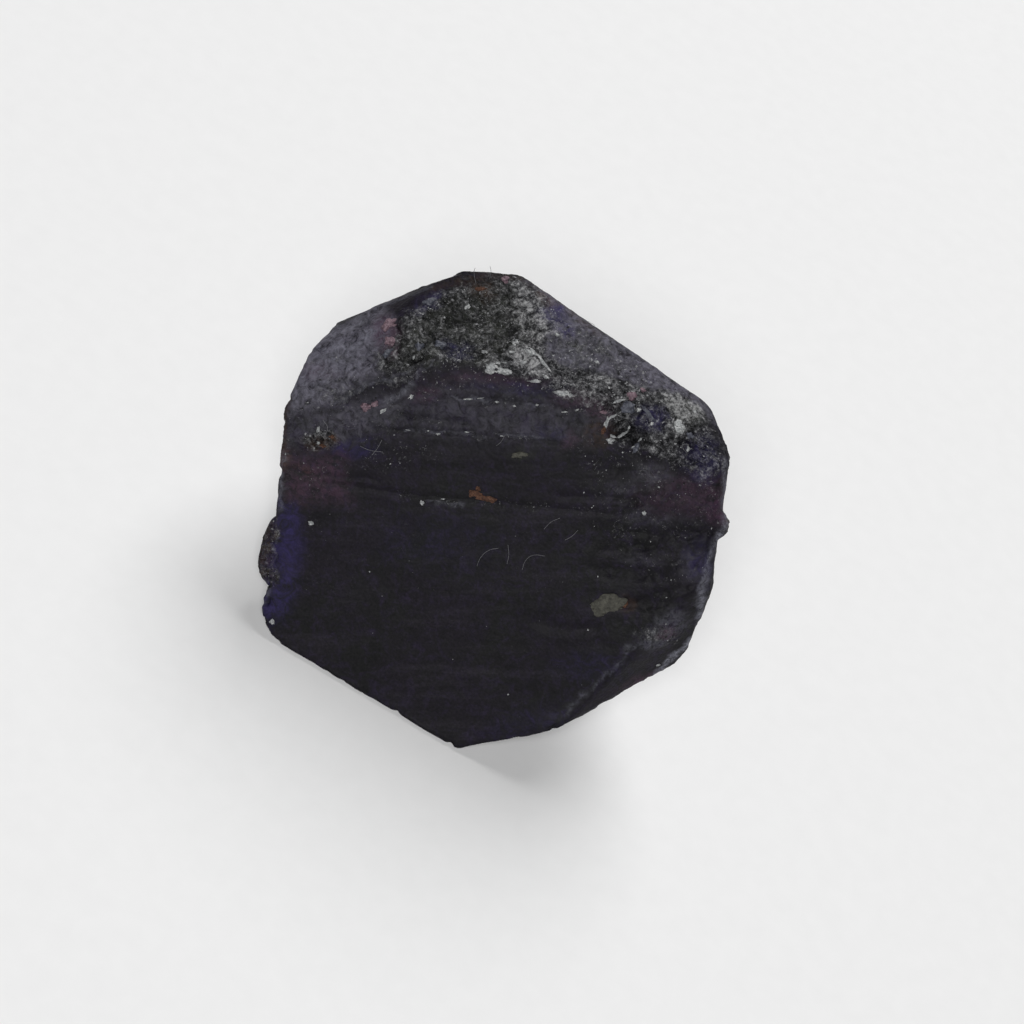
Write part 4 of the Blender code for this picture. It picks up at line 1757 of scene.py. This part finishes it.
@dataclass(frozen=True)
class Studio:
    """A plain pale floor, soft light from behind and in front, and the photograph's camera.

    Sizes are in metres. The lamps light the floor as far as floor_lit, and from floor_far on it shows to
    the camera as bright as the room.
    """

    place: CrystalFrame
    view: PhotoView
    floor_size: float = 3.0
    floor_tones: tuple[tuple[float, str], ...] = ((0.3, "ebebeb"), (0.7, "ededed"))
    lamps: tuple[SoftBox, ...] = (
        SoftBox("soft_box_behind", 91.0, 52.0, 0.60, 0.42, 2.64),
        SoftBox("soft_box_front", 270.0, 44.0, 0.80, 0.36, 4.55),
    )
    room_colour: str = "f1f1f1"
    room_glow: float = 0.02
    room_seen: float = 0.85
    floor_lit: float = 0.12
    floor_far: float = 0.45
    nearest_seen: float = 0.005

    def floor(self) -> bpy.types.Object:
        """A wide sheet of matte board for the stone to lie on.

        The lamps light its middle. Beyond that it glows for the camera alone, so that it stays pale to the
        horizon and adds no light to the stone.

        Returns:
            The floor.
        """
        shape = bmesh.new()
        bmesh.ops.create_grid(shape, x_segments=1, y_segments=1, size=self.floor_size / 2.0)
        mesh = bpy.data.meshes.new("floor")
        shape.to_mesh(mesh)
        shape.free()
        material = new_material("matte_board", 0.9, 0.1)
        tree = material.node_tree
        shader = tree.nodes["Principled BSDF"]
        add = partial(add_node, tree)
        where = add("ShaderNodeTexCoord", out="Object")
        fibre = add("ShaderNodeTexNoise", {"Vector": where, "Scale": 900.0, "Detail": 3.0})
        tone = add("ShaderNodeValToRGB", {0: fibre}, ramp=self.floor_tones)
        tree.links.new(tone, shader.inputs["Base Color"])
        away = add("ShaderNodeVectorMath", {0: where}, "Value", operation="LENGTH")
        stretch = {"Value": away, "From Min": self.floor_lit, "From Max": self.floor_far}
        beyond = add("ShaderNodeMapRange", stretch, interpolation_type="SMOOTHSTEP")
        seen = add("ShaderNodeLightPath", out="Is Camera Ray")
        share = add("ShaderNodeMath", {0: beyond, 1: seen}, operation="MULTIPLY")
        glow = {"Color": linear(self.room_colour), "Strength": self.room_seen}
        parts = {0: share, 1: shader.outputs[0], 2: add("ShaderNodeEmission", glow)}
        tree.links.new(add("ShaderNodeMixShader", parts), tree.nodes["Material Output"].inputs["Surface"])
        mesh.materials.append(material)
        made = new_object("floor", mesh)
        return made

    def light(self) -> None:
        """The soft boxes, and a pale room that the camera sees brighter than it lights the stone."""
        for lamp in self.lamps:
            lamp.hang()
        world = bpy.data.worlds.new("soft_room")
        world.use_nodes = True
        glow = world.node_tree.nodes["Background"]
        glow.inputs["Color"].default_value = linear(self.room_colour)
        seen = add_node(world.node_tree, "ShaderNodeLightPath", out="Is Camera Ray")
        steps = {"Value": seen, "To Min": self.room_glow, "To Max": self.room_seen}
        strength = add_node(world.node_tree, "ShaderNodeMapRange", steps)
        world.node_tree.links.new(strength, glow.inputs["Strength"])
        bpy.context.scene.world = world

    def camera(self) -> None:
        """The camera at the photograph's viewing angle."""
        right, down = self.view.sideways()
        turn = Matrix((right, -down, self.view.towards())).transposed().to_4x4()
        seat = Matrix.Translation(self.view.eye()) @ turn
        lens = bpy.data.cameras.new("camera")
        lens.lens = self.view.lens_mm
        lens.sensor_width = self.view.sensor_mm
        lens.clip_start = self.nearest_seen
        made = new_object("camera", lens)
        location, rotation, _ = (self.place.to_row() @ seat).decompose()
        made.matrix_world = Matrix.LocRotScale(location, rotation, Vector((1.0, 1.0, 1.0)))
        bpy.context.scene.camera = made

    def build(self) -> None:
        """Set the floor, the light and the camera."""
        self.floor()
        self.light()
        self.camera()
        bpy.context.scene.view_settings.view_transform = "Standard"


# Mica and feldspar fines in black and grey, which make the crust look like wet gravel.
RUBBLE = MineralFinish("mica_and_feldspar_rubble", ("121214", "363638", "8e8e90"), tinted=True)
# Fine pale dust, a little glossy, which shows as pinpricks of light.
DUST = MineralFinish("pale_mica_dust", ("2a2b2d", "48494c", "98999a"), roughness=0.45, tinted=True)
# Cotton lint: matte grey hairs.
LINT = MineralFinish("cotton_lint", ("59595c", "6c6c6f", "7e7e80"), roughness=0.9)
# Muscovite mica: silvery flakes that catch the light.
MICA = MineralFinish("silvery_mica", ("4a4c4e", "8b8d8e", "dfe0df"), grain_mm=0.09, roughness=0.4)
# Pale pink corundum grains, dusty.
ROSE = MineralFinish("rose_corundum", ("352930", "66525b", "a48f96"), grain_mm=0.12, roughness=0.5)
# Small rounded crystals of the same stone, dull blue-grey.
BEAD = MineralFinish("blue_grey_corundum", ("25262b", "41434d", "7c7e86"), grain_mm=0.15, roughness=0.5)
# Limonite: earthy rust-brown crumbs.
IRON = MineralFinish("limonite", ("27180f", "4a3125", "7c5a46"), grain_mm=0.09, bump_mm=0.05)
# Feldspar altered to clay: a flat grey-olive patch.
FELDSPAR = MineralFinish("altered_feldspar", ("24231f", "403f39", "5b5a51"), grain_mm=0.2, bump_mm=0.04)

SCATTERS = (
    Scatter("crust_grains", Look.CRUST, 8.0, (0.02, 0.11), RUBBLE, 5, uneven=1.3, flat=0.6, sunk=0.4),
    Scatter("dust_specks", Look.SPECKS, 12.0, (0.007, 0.034), DUST, 9, flat=0.4, uneven=1.4),
    Scatter("mica_glints", Look.SPECKS, 3.2, (0.012, 0.065), MICA, 17, flat=0.3, sunk=0.2, uneven=1.2),
    Scatter("lint_bits", Look.SPECKS, 0.15, (0.10, 0.35), LINT, 13, flat=1.0, sunk=0.0, uneven=0.3,
            shape=Shape.FIBRE),
)

INLAYS = (
    Inlay("mica_flakes", MICA, (
        Chip((490, 368), 11, 10, 10, 0.10), Chip((503, 371), 14, 6, 10, 0.10),
        Chip((499, 363), 14, 3, 8, 0.08), Chip((489, 372), 8, 3, 25), Chip((535, 381), 15, 3, 2, 0.05),
        Chip((546, 377), 7, 3, 40),
        Chip((486, 352), 9, 4, 20), Chip((516, 343), 14, 8, 75, 0.12), Chip((543, 362), 24, 3, 62, 0.08),
        Chip((530, 351), 15, 6, 35, 0.10), Chip((523, 362), 7, 4, 0), Chip((512, 352), 8, 4, 20),
        Chip((468, 399), 9, 1.5, 2), Chip((481, 398), 6, 1.4, -12), Chip((497, 402), 4, 2.4),
        Chip((514, 406), 3, 2), Chip((537, 405), 3, 2), Chip((565, 412), 7, 1.6, -3),
        Chip((577, 410), 4, 1.5, -30), Chip((408, 430), 5, 1.4, 5), Chip((438, 434), 4, 2, -10),
        Chip((467, 432), 5, 1.5, 5), Chip((502, 436), 5, 1.5, 4), Chip((443, 499), 4, 1.4, 3),
        Chip((422, 503), 4, 4, 0, 0.10), Chip((467, 307), 6, 4, -30), Chip((557, 335), 4, 4, 0, 0.10),
        Chip((597, 362), 5, 3, 20), Chip((383, 411), 7, 3, -40, 0.08), Chip((411, 397), 5, 4, -50),
        Chip((414, 357), 3, 6, 20), Chip((562, 393), 16, 5, 5, 0.10), Chip((571, 395), 8, 4, -20),
        Chip((619, 401), 12, 2.5, -15), Chip((639, 410), 4, 4), Chip((652, 424), 4, 3),
        Chip((606, 424), 13, 3, -70), Chip((612, 417), 11, 2.6, -30), Chip((613, 437), 13, 3.4, 20),
        Chip((622, 435), 15, 2.8, -35), Chip((629, 428), 10, 2.4, -60), Chip((611, 441), 7, 5, 0, 0.10),
        Chip((640, 440), 13, 3, -68), Chip((635, 446), 7, 2, -20), Chip((680, 428), 14, 11, 40, 0.14, 0.04),
        Chip((311, 523), 5, 4, 0), Chip((272, 622), 5, 6, 0),
        Chip((644, 513), 4, 4), Chip((688, 449), 4, 5), Chip((658, 665), 6, 3, 30),
        Chip((318, 430), 4, 8, 10), Chip((318, 443), 4, 3), Chip((695, 412), 4, 3),
    )),
    Inlay("rose_grains", ROSE, (
        Chip((388, 326), 15, 9, -30, 0.40), Chip((390, 341), 9, 9, 0, 0.40),
        Chip((366, 407), 10, 8, 0, 0.18),
        Chip((375, 404), 7, 5, -30, 0.15), Chip((505, 279), 8, 7, 80, 0.2), Chip((632, 396), 9, 8, 0, 0.2),
        Chip((643, 390), 6, 5, 0, 0.15), Chip((604, 412), 9, 4, 20, 0.12),
    )),
    Inlay("blue_grey_beads", BEAD, (
        Chip((387, 354), 11, 6, -30, 0.30), Chip((440, 345), 10, 9, 0, 0.30), Chip((420, 346), 9, 8, 0, 0.3),
        Chip((628, 408), 10, 12, 80, 0.15), Chip((647, 412), 20, 3, 48, 0.15),
        Chip((430, 302), 12, 7, -25, 0.25), Chip((690, 436), 9, 7, 0, 0.25),
        Chip((636, 447), 10, 6, -60, 0.2),
    )),
    Inlay("rust_crumbs", IRON, (
        Chip((474, 494), 12, 8, 10, 0.16), Chip((485, 498), 17, 6, 6, 0.14),
        Chip((493, 500), 8, 5, -5, 0.12),
        Chip((478, 489), 5, 4, 60, 0.10), Chip((624, 603), 7, 9, 0, 0.10), Chip((332, 437), 5, 4, 0, 0.10),
        Chip((481, 289), 11, 5, -5, 0.15), Chip((604, 430), 4, 9, 20, 0.10),
        Chip((323, 446), 6, 3, 10, 0.08),
    )),
    Inlay("feldspar_inclusion", FELDSPAR, (
        Chip((606, 605), 34, 22, -6, 0.16, 0.03, 0.55, 4),
        Chip((519, 455), 14, 6, -5, 0.08),
    )),
)

FIBRES = (
    Fibre(((477, 566), (481, 557), (489, 550), (499, 548))),
    Fibre(((508, 545), (509, 555), (507, 564))),
    Fibre(((522, 570), (526, 560), (533, 555), (545, 556))),
    Fibre(((457, 350), (460, 359), (458, 370))),
    Fibre(((372, 455), (377, 449), (382, 440)), 0.05),
    Fibre(((496, 446), (501, 442), (505, 435)), 0.05),
    Fibre(((360, 446), (370, 450), (383, 452)), 0.04),
    Fibre(((323, 420), (328, 428), (324, 436)), 0.05),
    Fibre(((476, 284), (474, 275), (475, 268)), 0.10),
    Fibre(((489, 280), (491, 272), (490, 266)), 0.10),
    Fibre(((545, 366), (560, 372), (575, 376)), 0.04),
    Fibre(((565, 540), (572, 536), (578, 530)), 0.03),
    Fibre(((544, 529), (551, 522), (560, 518)), 0.03),
)


def main() -> None:
    """Build the stone, what lies on it, and the studio round it."""
    logging.basicConfig(level=logging.INFO, format="%(name)s: %(message)s")
    place = CrystalFrame()
    view = PhotoView()
    mesh = Crystal(place, view).build(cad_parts[STONE_NODE])
    ground = Ground(mesh, view, place)
    for maker in (*SCATTERS, *INLAYS, Lint(FIBRES, LINT)):
        maker.build(ground)
    stone = ground.settle(mesh, "crystal", CorundumFinish().material())
    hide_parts(STONE_NODE)
    Studio(place, view).build()


if __name__ == "__main__":
    main()
